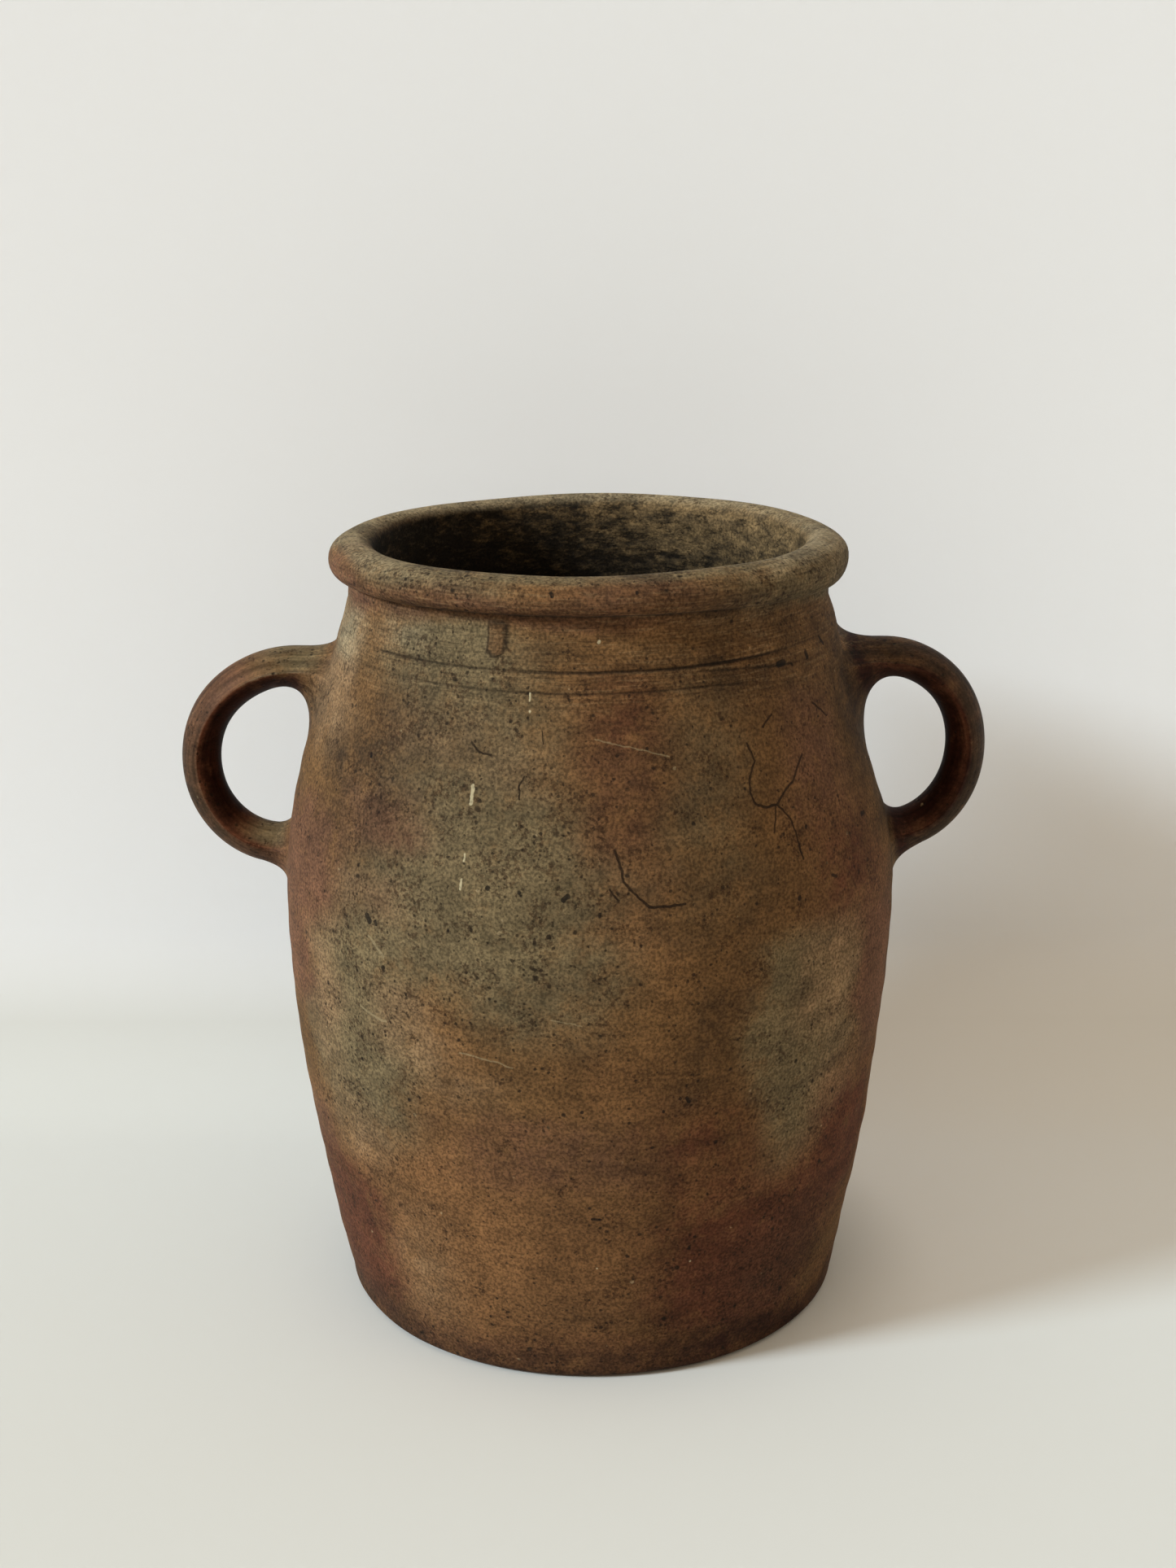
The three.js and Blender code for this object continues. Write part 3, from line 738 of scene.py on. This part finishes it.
# Clay colours: the bare ground, then the finishes in the order in which they lie over it.
BARE_CLAY = "#61462a"
FINISH_COLORS = {
    "ochre": "#68492d",
    "ash": "#63553d",
    "tan": "#7b6146",
    "pale": "#82745b",
    "flash": "#634431",
    "plum": "#523020",
    "smoke": "#33261a",
    "char": "#26110a",
}
SPECK_COLOR = "#1d150d"
CRUMB_COLOR = "#2a180c"
LIGHT_LINE = "#8b7556"
GRIT_COLOR = "#b09a76"
RUN_COLOR = "#5a3b22"
INSIDE_COLORS = {"dim": "#332a1e", "tan": "#705b3e", "soot": "#0d0906"}

# Sizes of the clay's patterns in mm, from the fired sand and the fine lines round the neck to the
# clouds of the kiln. The grain is drawn at about twice its real size, so that the picture's pixels
# hold it.
GRAIN = 0.85
WIPE = 3.0
PULL = 1.5
SPECK_CELL = 1.6
FRAY = 7.0
CLOUD = 17.0
IRON_CELL = 3.6
CRUMB = 1.4
NECK_LINE = 0.6
CUT_SHADE_SIZE = 3.0
SHAKE = 1.1
CROWD = 9.0
WORN = 3.2
SOOT = 2.6
WAVER = 2.2

# How patterns are drawn out round the pot, and along a strap in its own places.
WIPE_DRAWN = (0.16, 0.16, 1.0)
NECK_DRAWN = (0.06, 0.06, 1.0)
INSIDE_DRAWN = (0.45, 0.45, 1.0)
PULL_DRAWN = (9.0, 6.0, 6.0)

# Gain and offset with which a noise frays the finishes, how far the slip covers the clay and how
# strong its outline is, and the heights between which the neck's lines fade in.
FRAY_GAIN = 2.6
FRAY_OFFSET = -0.25
RUN_COVER = 0.6
RUN_OUTLINE = 3.0
NECK_FADE = (196.0, 212.0)

# Inside of the pot, each from one place to another in mm, and what is added to the tan and the soot at
# the two: rightwards, up to the mouth, and up from far down. The first two paint light and shade: more
# tan and less soot towards the lamp on the right and up to the mouth, more soot on the left.
INSIDE_LAMP_SIDE = (-60.0, 45.0, -0.16, 0.04)
INSIDE_MOUTH_LIGHT = (195.0, 236.0, -0.24, 0.035)
INSIDE_DEEP = (110.0, 190.0, -0.3, 0.0)

# Dots in the clay: cell in mm, channel of its lot, colour, the lot from which a cell has a dot, the
# largest dot's radius as a share of the cell, and how strongly it shows.
DOTS = (
    (IRON_CELL, 1, GRIT_COLOR, 0.88, 0.13, 0.45),
    (IRON_CELL, 0, SPECK_COLOR, 0.55, 0.2, 0.9),
    (SPECK_CELL, 0, SPECK_COLOR, 0.4, 0.3, 0.75),
)

# Marks on the wall, each a line or dot through (angle, height) places: kind, half-width in mm,
# places.
MARKS = (
    ("crack", 0.38, (32.4, 192.4), (33.5, 187.6), (31.7, 183.1), (31.3, 179.6), (32.0, 176.4),
     (33.9, 175.1), (37.0, 174.8)),
    ("crack", 0.38, (37.0, 174.8), (39.6, 178.0), (42.1, 179.9), (44.3, 183.1), (46.5, 186.0)),
    ("crack", 0.34, (37.2, 174.8), (39.7, 170.3), (40.5, 166.0), (40.9, 161.2), (41.3, 158.8)),
    ("crack", 0.32, (36.7, 174.8), (35.9, 170.8), (35.3, 168.1)),
    ("crack", 0.38, (4.4, 168.1), (5.5, 162.8), (5.7, 159.6), (10.1, 152.4), (16.4, 152.4)),
    ("crack", 0.30, (3.3, 158.0), (4.9, 154.5)),
    ("crack", 0.30, (-23.3, 194.8), (-21.3, 192.4), (-18.8, 191.9)),
    ("crack", 0.32, (-12.2, 186.8), (-13.1, 184.1), (-12.8, 180.9)),
    ("crack", 0.20, (-9.2, 199.1), (-8.7, 195.6)),
    ("crack", 0.34, (39.9, 198.8), (37.0, 195.9)),
    ("crack", 0.38, (53.6, 198.5), (58.5, 193.5)),
    ("pit", 0.95, (-42.0, 142.9), (-41.3, 141.7)),
    ("pit", 0.55, (-40.0, 142.1), (-39.7, 141.4)),
    ("pit", 0.80, (-4.5, 155.1), (-3.8, 156.2)),
    ("pit", 0.75, (-17.5, 157.2)),
    ("pit", 0.60, (-12.0, 156.7)),
    ("pit", 0.80, (39.5, 148.2)),
    ("pit", 0.70, (-47.0, 186.5)),
    ("pit", 0.70, (63.2, 163.3), (64.6, 163.2)),
    ("pit", 0.45, (48.6, 151.4), (49.8, 150.6)),
    ("pit", 0.50, (-24.6, 144.0)),
    ("pit", 0.50, (-9.4, 105.7)),
    ("pit", 0.60, (17.0, 95.0), (17.4, 94.0)),
    ("pit", 0.70, (39.8, 98.5)),
    ("pit", 0.55, (-34.5, 89.2)),
    ("pit", 0.50, (22.1, 62.5)),
    ("pit", 0.45, (0.2, 57.6), (1.6, 57.4)),
    ("pit", 0.55, (-21.3, 20.0)),
    ("pit", 0.50, (-17.5, 20.7)),
    ("pit", 0.95, (44.9, 211.2), (47.0, 211.3)),
    ("pit", 0.85, (55.4, 212.2), (55.6, 210.9)),
    ("pit", 0.75, (63.4, 214.4), (64.8, 212.4)),
    ("pit", 0.55, (-1.6, 92.7)),
    ("pit", 0.65, (-7.5, 236.2), (-7.2, 235.6)),
    ("pit", 0.60, (9.6, 236.2)),
    ("fleck", 0.55, (-22.0, 178.8), (-22.0, 183.4)),
    ("fleck", 0.28, (-22.3, 163.7), (-22.3, 165.3)),
    ("fleck", 0.36, (-22.5, 156.3), (-22.4, 158.7)),
    ("fleck", 0.30, (-11.9, 206.7), (-11.9, 208.5)),
    ("fleck", 0.35, (-11.8, 203.8)),
    ("fleck", 0.60, (2.2, 222.0)),
    ("fleck", 0.30, (1.1, 40.7)),
    ("fleck", 0.35, (19.7, 40.0)),
    ("scratch", 0.45, (-41.5, 137.2), (-39.8, 134.6), (-38.3, 132.4)),
    ("scratch", 0.40, (-44.3, 114.8), (-41.0, 113.0), (-38.3, 112.4)),
    ("scratch", 0.22, (-6.6, 120.7), (-1.6, 119.1)),
    ("scratch", 0.25, (-23.0, 108.3), (-16.0, 106.8), (-13.5, 105.5)),
    ("scratch", 0.20, (1.1, 197.0), (8.0, 194.6), (15.3, 191.6)),
)
MARK_COLORS = {
    "scratch": ("#9a8a6a", 0.4),
    "crack": ("#160d06", 0.92),
    "pit": ("#0e0b09", 0.9),
    "fleck": ("#b8ab8a", 0.75),
}

# Depth that stands for no mark, in mm.
NO_MARK = -9.0


def fired_clay(add, mm, value):
    """Colour of the clay outside: the ground under the finishes, whose edges a noise frays, and the
    run of slip with its dark outline."""
    fray = add("TexNoise", {}, {"Vector": mm, "Scale": 1 / FRAY, "Detail": 6.0, "Roughness": 0.72})
    fray = add("Math", TIMES_PLUS, {0: fray, 1: FRAY_GAIN, 2: FRAY_OFFSET})
    color = linear(BARE_CLAY)
    for finish in FINISHES:
        cover = add("Math", TIMES, {0: value[finish], 1: fray})
        cover = add("MapRange", SOFT, {0: cover})
        color = add("Mix", BLEND, {0: cover, 6: color, 7: linear(FINISH_COLORS[finish])}, 2)
    slip = add("Math", TIMES, {0: value["run"], 1: RUN_COVER})
    color = add("Mix", BLEND, {0: slip, 6: color, 7: linear(RUN_COLOR)}, 2)
    bare = add("Math", MINUS, {0: 1.0, 1: value["run"]})
    outline = add("Math", TIMES, {0: value["run"], 1: bare})
    outline = add("Math", TIMES, {0: outline, 1: RUN_OUTLINE})
    return add("Mix", BLEND, {0: outline, 6: color, 7: linear(SPECK_COLOR)}, 2)


def kiln_shades(add, mm, grain, gritty, color):
    """Lighter and darker shares of the colour: clouds of the kiln, wipes drawn out sideways, and the
    fine grain."""
    cloud = add("TexNoise", {}, {"Vector": mm, "Scale": 1 / CLOUD, "Detail": 7.0, "Roughness": 0.8})
    drawn = add("VectorMath", TIMES, {0: mm, 1: WIPE_DRAWN})
    wipe = add("TexNoise", {}, {"Vector": drawn, "Scale": 1 / WIPE, "Detail": 5.0, "Roughness": 0.7})
    for noise, half, much in ((cloud, 0.2, 0.38), (wipe, 0.18, 0.19), (grain, 0.14, gritty)):
        share = add("MapRange", {}, {0: noise, 1: 0.5 - half, 2: 0.5 + half, 3: 1 - much, 4: 1 + much})
        color = add("VectorMath", SCALED, {0: color, "Scale": share})
    return color


def pull_lines(add, color):
    """Lines that fingers drew along a strap: a noise in the strap's own places (cosine and sine round
    its section, and share of its length), fine round it and long along it, as lighter and darker
    shares of the colour."""
    places = [add("Attribute", {"attribute_name": key}, {}, 2) for key in ("across", "through", "along")]
    place = add("CombineXYZ", {}, dict(enumerate(places)))
    place = add("VectorMath", TIMES, {0: place, 1: PULL_DRAWN})
    line = add("TexNoise", {}, {"Vector": place, "Scale": 1 / PULL, "Detail": 4.0, "Roughness": 0.65})
    share = add("MapRange", {}, {0: line, 1: 0.34, 2: 0.66, 3: 0.6, 4: 1.4})
    return add("VectorMath", SCALED, {0: color, "Scale": share})


def neck_lines(add, mm, outside, value, color):
    """Fine throwing lines round the neck, dark and light: a noise drawn out sideways, which fades
    down the shoulder. Painted shade lies in the cut lines, more here and less there. Also how strongly
    the dark lines show."""
    flat = add("VectorMath", TIMES, {0: mm, 1: NECK_DRAWN})
    pattern = {"Vector": flat, "Scale": 1 / NECK_LINE, "Detail": 2.0, "Roughness": 0.6}
    streak = add("TexNoise", {}, pattern)
    height = add("SeparateXYZ", {}, {0: mm}, 2)
    near = add("MapRange", SOFT, {0: height, 1: NECK_FADE[0], 2: NECK_FADE[1]})
    near = add("Math", TIMES, {0: near, 1: outside})
    for code, low, high, strength in ((LIGHT_LINE, 0.46, 0.34, 0.18), (SPECK_COLOR, 0.52, 0.66, 0.3)):
        line = add("MapRange", SOFT, {0: streak, 1: low, 2: high, 3: 0.0, 4: strength})
        line = add("Math", TIMES, {0: line, 1: near})
        color = add("Mix", BLEND, {0: line, 6: color, 7: linear(code)}, 2)
    # Painted shade in the tool lines, by the depth of each cut, varied by a noise.
    cut_shade = add("TexNoise", {}, {"Vector": flat, "Scale": 1 / CUT_SHADE_SIZE, "Detail": 3.0})
    cut_shade = add("MapRange", {}, {0: cut_shade, 1: 0.3, 2: 0.6, 3: 0.55, 4: 1.0})
    cut_shade = add("Math", TIMES, {0: cut_shade, 1: value["cut"]})
    return add("Mix", BLEND, {0: cut_shade, 6: color, 7: linear(SPECK_COLOR)}, 2), line


def iron_specks(add, mm, value, color):
    """Grit, iron and the pepper of fine iron: dots in the middle of some cells of a Voronoi pattern
    on shaken places, each as large as its cell's lot makes it, and larger where a slow noise and the
    ash, smoke or flame gather them. Crumbs of burnt clay are the peaks of another noise, more of them
    where the dots are larger. Also how strongly the pepper shows."""
    shake = add("TexNoise", {}, {"Vector": mm, "Scale": 1 / SHAKE, "Detail": 1.0}, 1)
    shaken = add("VectorMath", TIMES_PLUS, {0: shake, 1: (0.8, 0.8, 0.8), 2: mm})
    crowd = add("TexNoise", {}, {"Vector": mm, "Scale": 1 / CROWD, "Detail": 2.0})
    gathered = add("Math", PLUS, {0: value["ash"], 1: value["smoke"]})
    gathered = add("Math", PLUS, {0: gathered, 1: value["plum"]})
    crowd = add("Math", TIMES_PLUS, {0: gathered, 1: 0.12, 2: crowd})
    crowd = add("MapRange", {}, {0: crowd, 1: 0.35, 2: 0.7, 3: 0.55, 4: 1.3})
    crumb = add("TexNoise", {}, {"Vector": mm, "Scale": 1 / CRUMB, "Detail": 3.0, "Roughness": 0.7})
    crumb = add("Math", TIMES, {0: crumb, 1: crowd})
    crumb = add("MapRange", SOFT, {0: crumb, 1: 0.63, 2: 0.77, 3: 0.0, 4: 0.6})
    color = add("Mix", BLEND, {0: crumb, 6: color, 7: linear(CRUMB_COLOR)}, 2)
    for cell, channel, code, from_lot, size, strength in DOTS:
        pattern = {"Vector": shaken, "Scale": 1 / cell}
        middle, lot = [add("TexVoronoi", {}, pattern, i) for i in (0, 1)]
        picked = add("SeparateColor", {}, {0: lot}, channel)
        radius = add("MapRange", {}, {0: picked, 1: from_lot, 2: 1.0, 3: 0.0, 4: size})
        radius = add("Math", TIMES, {0: radius, 1: crowd})
        within = add("Math", MINUS, {0: radius, 1: middle})
        dot = add("MapRange", SOFT, {0: within, 1: -0.06, 2: 0.1, 3: 0.0, 4: strength})
        color = add("Mix", BLEND, {0: dot, 6: color, 7: linear(code)}, 2)
    return color, dot


def dark_inside(add, mm, value, color):
    """The inside: a dim ground with tan worn through, and soot in short drawn-out streaks, which end far
    down. Painted light and shade: more tan near the mouth and most on the right where the lamp reaches,
    more soot lower down and on the left. Also the depth of the soot."""
    drawn = add("VectorMath", TIMES, {0: mm, 1: INSIDE_DRAWN})
    worn = add("TexNoise", {}, {"Vector": drawn, "Scale": 1 / WORN, "Detail": 6.0, "Roughness": 0.7})
    side, height = [add("SeparateXYZ", {}, {0: mm}, axis) for axis in (0, 2)]
    # Painted light and shade: tan grows and soot shrinks towards the lamp on the right and up to the
    # mouth.
    lamp_side = add("MapRange", {}, {0: side, **dict(enumerate(INSIDE_LAMP_SIDE, 1))})
    upward = add("MapRange", {}, {0: height, **dict(enumerate(INSIDE_MOUTH_LIGHT, 1))})
    worn = add("Math", PLUS, {0: worn, 1: lamp_side})
    worn = add("Math", PLUS, {0: worn, 1: upward})
    tan = add("MapRange", SOFT, {0: worn, 1: 0.3, 2: 0.7})
    dim_color, tan_color, soot_color = [linear(INSIDE_COLORS[key]) for key in ("dim", "tan", "soot")]
    inner = add("Mix", BLEND, {0: tan, 6: dim_color, 7: tan_color}, 2)
    soot = add("TexNoise", {}, {"Vector": drawn, "Scale": 1 / SOOT, "Detail": 5.0, "Roughness": 0.75})
    soot = add("Math", MINUS, {0: soot, 1: lamp_side})
    soot = add("Math", TIMES_PLUS, {0: upward, 1: -0.5, 2: soot})
    deep = add("MapRange", {}, {0: height, **dict(enumerate(INSIDE_DEEP, 1))})
    soot = add("Math", PLUS, {0: soot, 1: deep})
    soot = add("MapRange", SOFT, {0: soot, 1: 0.46, 2: 0.66, 3: 0.0, 4: 0.85})
    inner = add("Mix", BLEND, {0: soot, 6: inner, 7: soot_color}, 2)
    soot = add("Math", TIMES, {0: soot, 1: value["inside"]})
    return add("Mix", BLEND, {0: value["inside"], 6: color, 7: inner}, 2), soot


def wall_marks(add, mm, outside, grain, color):
    """Cracks, pits, flecks and scratches: on the wall unrolled at the belly's radius (x is the angle
    times the radius, y the height) and shaken by a noise, each mark is its half-width less the
    distance to its line, and marks of one kind join by the greatest. The grain breaks them up."""
    x, y, height = [add("SeparateXYZ", {}, {0: mm}, axis) for axis in range(3)]
    front = add("Math", TIMES, {0: y, 1: -1.0})
    turn = add("Math", {"operation": "ARCTAN2"}, {0: x, 1: front})
    turn = add("Math", TIMES, {0: turn, 1: BELLY_RADIUS})
    unrolled = add("CombineXYZ", {}, {0: turn, 1: height})
    shake = add("TexNoise", {}, {"Vector": mm, "Scale": 1 / WAVER, "Detail": 2.0}, 1)
    shake = add("VectorMath", TIMES_PLUS, {0: shake, 1: (1.0, 1.0, 0.0), 2: (-0.5, -0.5, 0.0)})
    unrolled = add("VectorMath", PLUS, {0: unrolled, 1: shake})
    whole = add("MapRange", {}, {0: grain, 1: 0.3, 2: 0.55, 3: 0.65, 4: 1.0})
    whole = add("Math", TIMES, {0: whole, 1: outside})
    for kind, (code, strength) in MARK_COLORS.items():
        depth = NO_MARK
        for _, half, *places in [mark for mark in MARKS if mark[0] == kind]:
            spots = [(math.radians(angle) * BELLY_RADIUS, level) for angle, level in places]
            for (x0, y0), (x1, y1) in zip(spots, spots[1:] or spots):
                middle = ((x0 + x1) / 2, (y0 + y1) / 2, 0.0)
                lean = (0.0, 0.0, math.atan2(y1 - y0, x1 - x0))
                ends = (math.hypot(x1 - x0, y1 - y0) / 2, 0.0, 0.0)
                seen = add("Mapping", {"vector_type": "TEXTURE"}, {0: unrolled, 1: middle, 2: lean})
                seen = add("VectorMath", {"operation": "ABSOLUTE"}, {0: seen})
                seen = add("VectorMath", MINUS, {0: seen, 1: ends})
                seen = add("VectorMath", LARGER, {0: seen, 1: (0.0, 0.0, 0.0)})
                far = add("VectorMath", {"operation": "LENGTH"}, {0: seen}, 1)
                within = add("Math", MINUS, {0: half, 1: far})
                depth = add("Math", LARGER, {0: depth, 1: within})
        shown = add("MapRange", SOFT, {0: depth, 1: -0.12, 2: 0.15, 3: 0.0, 4: strength})
        shown = add("Math", TIMES, {0: shown, 1: whole})
        color = add("Mix", BLEND, {0: shown, 6: color, 7: linear(code)}, 2)
    return color


def stoneware(name, roughness, specular, gritty, thrown):
    """Wood-fired stoneware, dry to the eye: grainy brown clay with soft patches of ash, flame and
    smoke, peppered with iron and a little rough all over. The handles are smoothed by pulling and
    wear. The thrown wall has single marks, and pulled clay has lines along it."""
    material = bpy.data.materials.new(name)
    material.use_nodes = True
    tree = material.node_tree
    tree.nodes.clear()
    add = partial(add_node, tree)
    mm = add("VectorMath", SCALED, {0: add("TexCoord", {}, {}, 3), "Scale": 1 / MM})
    keys = (*FINISHES, "inside", "run", "cut")
    value = {key: add("Attribute", {"attribute_name": key}, {}, 2) for key in keys}
    outside = add("Math", MINUS, {0: 1.0, 1: value["inside"]})
    grain = add("TexNoise", {}, {"Vector": mm, "Scale": 1 / GRAIN, "Detail": 1.0, "Roughness": 0.6})
    color = fired_clay(add, mm, value)
    color, line = neck_lines(add, mm, outside, value, color)
    color, speck = iron_specks(add, mm, value, color)
    color, soot = dark_inside(add, mm, value, color)
    color = kiln_shades(add, mm, grain, gritty, color)
    color = wall_marks(add, mm, outside, grain, color) if thrown else pull_lines(add, color)
    relief = add("Math", TIMES, {0: grain, 1: 1.5 * gritty})
    for depth, much in ((speck, -0.5), (line, -1.2), (soot, -2.0)):
        relief = add("Math", TIMES_PLUS, {0: depth, 1: much, 2: relief})
    normal = add("Bump", {}, {"Strength": 0.6, "Distance": 0.35 * MM, "Height": relief})
    look = {"Base Color": color, "Roughness": roughness, "Specular IOR Level": specular, "Normal": normal}
    add("OutputMaterial", {}, {0: add("BsdfPrincipled", {}, look)})
    return material


def straight_rays(add):
    """1 for rays that show the eye a thing directly, in a mirror or through glass, and 0 for those
    that only light."""
    camera, glossy, through = [add("LightPath", {}, {}, i) for i in (0, 3, 6)]
    direct = add("Math", LARGER, {0: glossy, 1: through})
    return add("Math", LARGER, {0: camera, 1: direct})


def studio():
    """Pale sweep: floor, a quarter-round rise and a wall, as one sheet. Its paper is darker where it
    lies flat, so that floor and wall look alike. The floor seen directly glows a little away from the
    foot, a painted light which keeps the shadow light and warm. A soft lamp stands to the left and in
    front, and the room fills the rest. Past the sheet the room is seen as pale as the paper."""
    rise, radius, top, front, half = 84.0, 60.0, 1600.0, -1800.0, 1600.0
    clear_of_base = 0.05
    glow_fade = 38
    t = np.linspace(0, math.pi / 2, 40)
    out, up = rise + radius * np.sin(t[1:]), radius * (1 - np.cos(t[1:]))
    y = np.concatenate([np.linspace(front, rise, 30), out, np.full(20, rise + radius)])
    z = np.concatenate([np.zeros(30), up, np.linspace(radius, top, 21)[1:]]) - clear_of_base
    x = np.array([-half, half])
    points = np.stack(np.broadcast_arrays(x[None], y[:, None], z[:, None]), -1).reshape(-1, 3)
    rows = np.arange(len(y) - 1)
    faces = np.stack([2 * rows, 2 * rows + 1, 2 * rows + 3, 2 * rows + 2], -1)
    mesh = bpy.data.meshes.new("paper_sweep")
    mesh.from_pydata((points * MM).tolist(), [], faces.tolist())
    mesh.polygons.foreach_set("use_smooth", np.ones(len(faces), bool))
    sweep = bpy.data.objects.new("paper_sweep", mesh)
    bpy.context.scene.collection.objects.link(sweep)

    azimuth, elevation = math.radians(24.4), math.radians(31)
    flat = math.cos(elevation)
    towards = Vector((-math.cos(azimuth) * flat, -math.sin(azimuth) * flat, math.sin(elevation)))
    paper = bpy.data.materials.new("matt_backdrop_paper")
    paper.use_nodes = True
    tree = paper.node_tree
    tree.nodes.clear()
    add = partial(add_node, tree)
    flatness = add("SeparateXYZ", {}, {0: add("NewGeometry", {}, {}, 1)}, 2)
    grade = add("MapRange", {}, {0: flatness, 1: 0.0, 2: 0.55})
    tones = [linear(code) for code in ("#ecedf0", "#cfcecb", "#b4baba")]
    tone = add("Mix", BLEND, {0: grade, 6: tones[0], 7: tones[1]}, 2)
    seen_tone = add("Mix", BLEND, {0: grade, 6: tones[0], 7: tones[2]}, 2)
    place = add("TexCoord", {}, {}, 3)
    place = add("VectorMath", TIMES, {0: place, 1: (1 / MM, 1 / MM, 0.0)})
    far = add("VectorMath", {"operation": "LENGTH"}, {0: place}, 1)
    far = add("MapRange", SOFT, {0: far, 1: FOOT_RADIUS, 2: FOOT_RADIUS + glow_fade})
    # Painted light: the floor seen directly glows a little away from the foot, which lightens the shadow.
    glow_share = add("Math", TIMES, {0: far, 1: straight_rays(add)})
    floor_glow = add("Mix", BLEND, {0: grade, 6: (0, 0, 0, 1), 7: (0.18, 0.14, 0.11, 1)}, 2)
    matt = add("BsdfDiffuse", {}, {"Color": tone})
    seen = add("BsdfDiffuse", {}, {"Color": seen_tone})
    seen = add("AddShader", {}, {0: seen, 1: add("Emission", {}, {"Color": floor_glow})})
    sheet = add("MixShader", {}, {0: glow_share, 1: matt, 2: seen})
    back = add("NewGeometry", {}, {}, 6)
    clear = add("BsdfTransparent", {}, {})
    shown = add("MixShader", {}, {0: back, 1: sheet, 2: clear})
    add("OutputMaterial", {}, {0: shown})
    mesh.materials.append(paper)

    lamp = bpy.data.lights.new("window_lamp", "SUN")
    lamp.angle = math.radians(12)
    lamp.energy = 3.2
    lamp.color = (0.86, 1.0, 1.08)
    holder = bpy.data.objects.new("window_lamp", lamp)
    holder.rotation_euler = towards.to_track_quat("Z", "Y").to_euler()
    bpy.context.scene.collection.objects.link(holder)

    world = bpy.data.worlds.new("room")
    bpy.context.scene.world = world
    world.use_nodes = True
    tree = world.node_tree
    tree.nodes.clear()
    add = partial(add_node, tree)
    aim = add("SeparateXYZ", {}, {0: add("TexCoord", {}, {}, 0)}, 2)
    upward = add("MapRange", {}, {0: aim})
    low_glow, high_glow = (0.395, 0.328, 0.24, 1), (0.995, 0.83, 0.615, 1)
    sky = add("Mix", BLEND, {0: upward, 6: low_glow, 7: high_glow}, 2)
    room = add("Background", {}, {"Color": sky, "Strength": 1.0})
    level = add("MapRange", {}, {0: aim, 1: -0.45, 2: -0.1})
    pale = add("Mix", BLEND, {0: level, 6: linear("#dbdbd2"), 7: linear("#e1ded2")}, 2)
    pale = add("Background", {}, {"Color": pale, "Strength": 1.0})
    seen = add("MixShader", {}, {0: straight_rays(add), 1: room, 2: pale})
    add("OutputWorld", {}, {0: seen})


def photograph_camera():
    """Camera: 36 mm tall sensor, placed in front of and above the pot, pitched down and rolled a
    little."""
    camera = bpy.data.cameras.new("camera")
    sensor, focal_pixels, picture_height = 36, 2672, 1927
    camera.sensor_fit = "VERTICAL"
    camera.sensor_height = sensor
    camera.sensor_width = sensor
    camera.lens = sensor * focal_pixels / picture_height
    camera.clip_end = 50
    holder = bpy.data.objects.new("camera", camera)
    place = Matrix.Translation((-0.00038, -0.6468, 0.3494))
    pitch = Matrix.Rotation(math.radians(90 - 16.24), 4, "X")
    roll = Matrix.Rotation(math.radians(-0.24), 4, "Z")
    holder.matrix_world = place @ pitch @ roll
    bpy.context.scene.collection.objects.link(holder)
    bpy.context.scene.camera = holder


bpy.context.scene.view_settings.view_transform = "Standard"
photograph_camera()
studio()
thrown_body(stoneware("wall_stoneware", roughness=0.85, specular=0.12, gritty=0.36, thrown=True))
handle_clay = stoneware("handle_stoneware", roughness=0.55, specular=0.06, gritty=0.16, thrown=False)
lute_clay = stoneware("lute_stoneware", roughness=0.7, specular=0.1, gritty=0.28, thrown=False)
for side_name, handle in HANDLES.items():
    handle_strap(side_name, handle, handle_clay)
    for end in ("upper", "lower"):
        lute(f"{side_name}_{end}", handle, end == "upper", LUTES[f"{side_name}_{end}"], lute_clay)
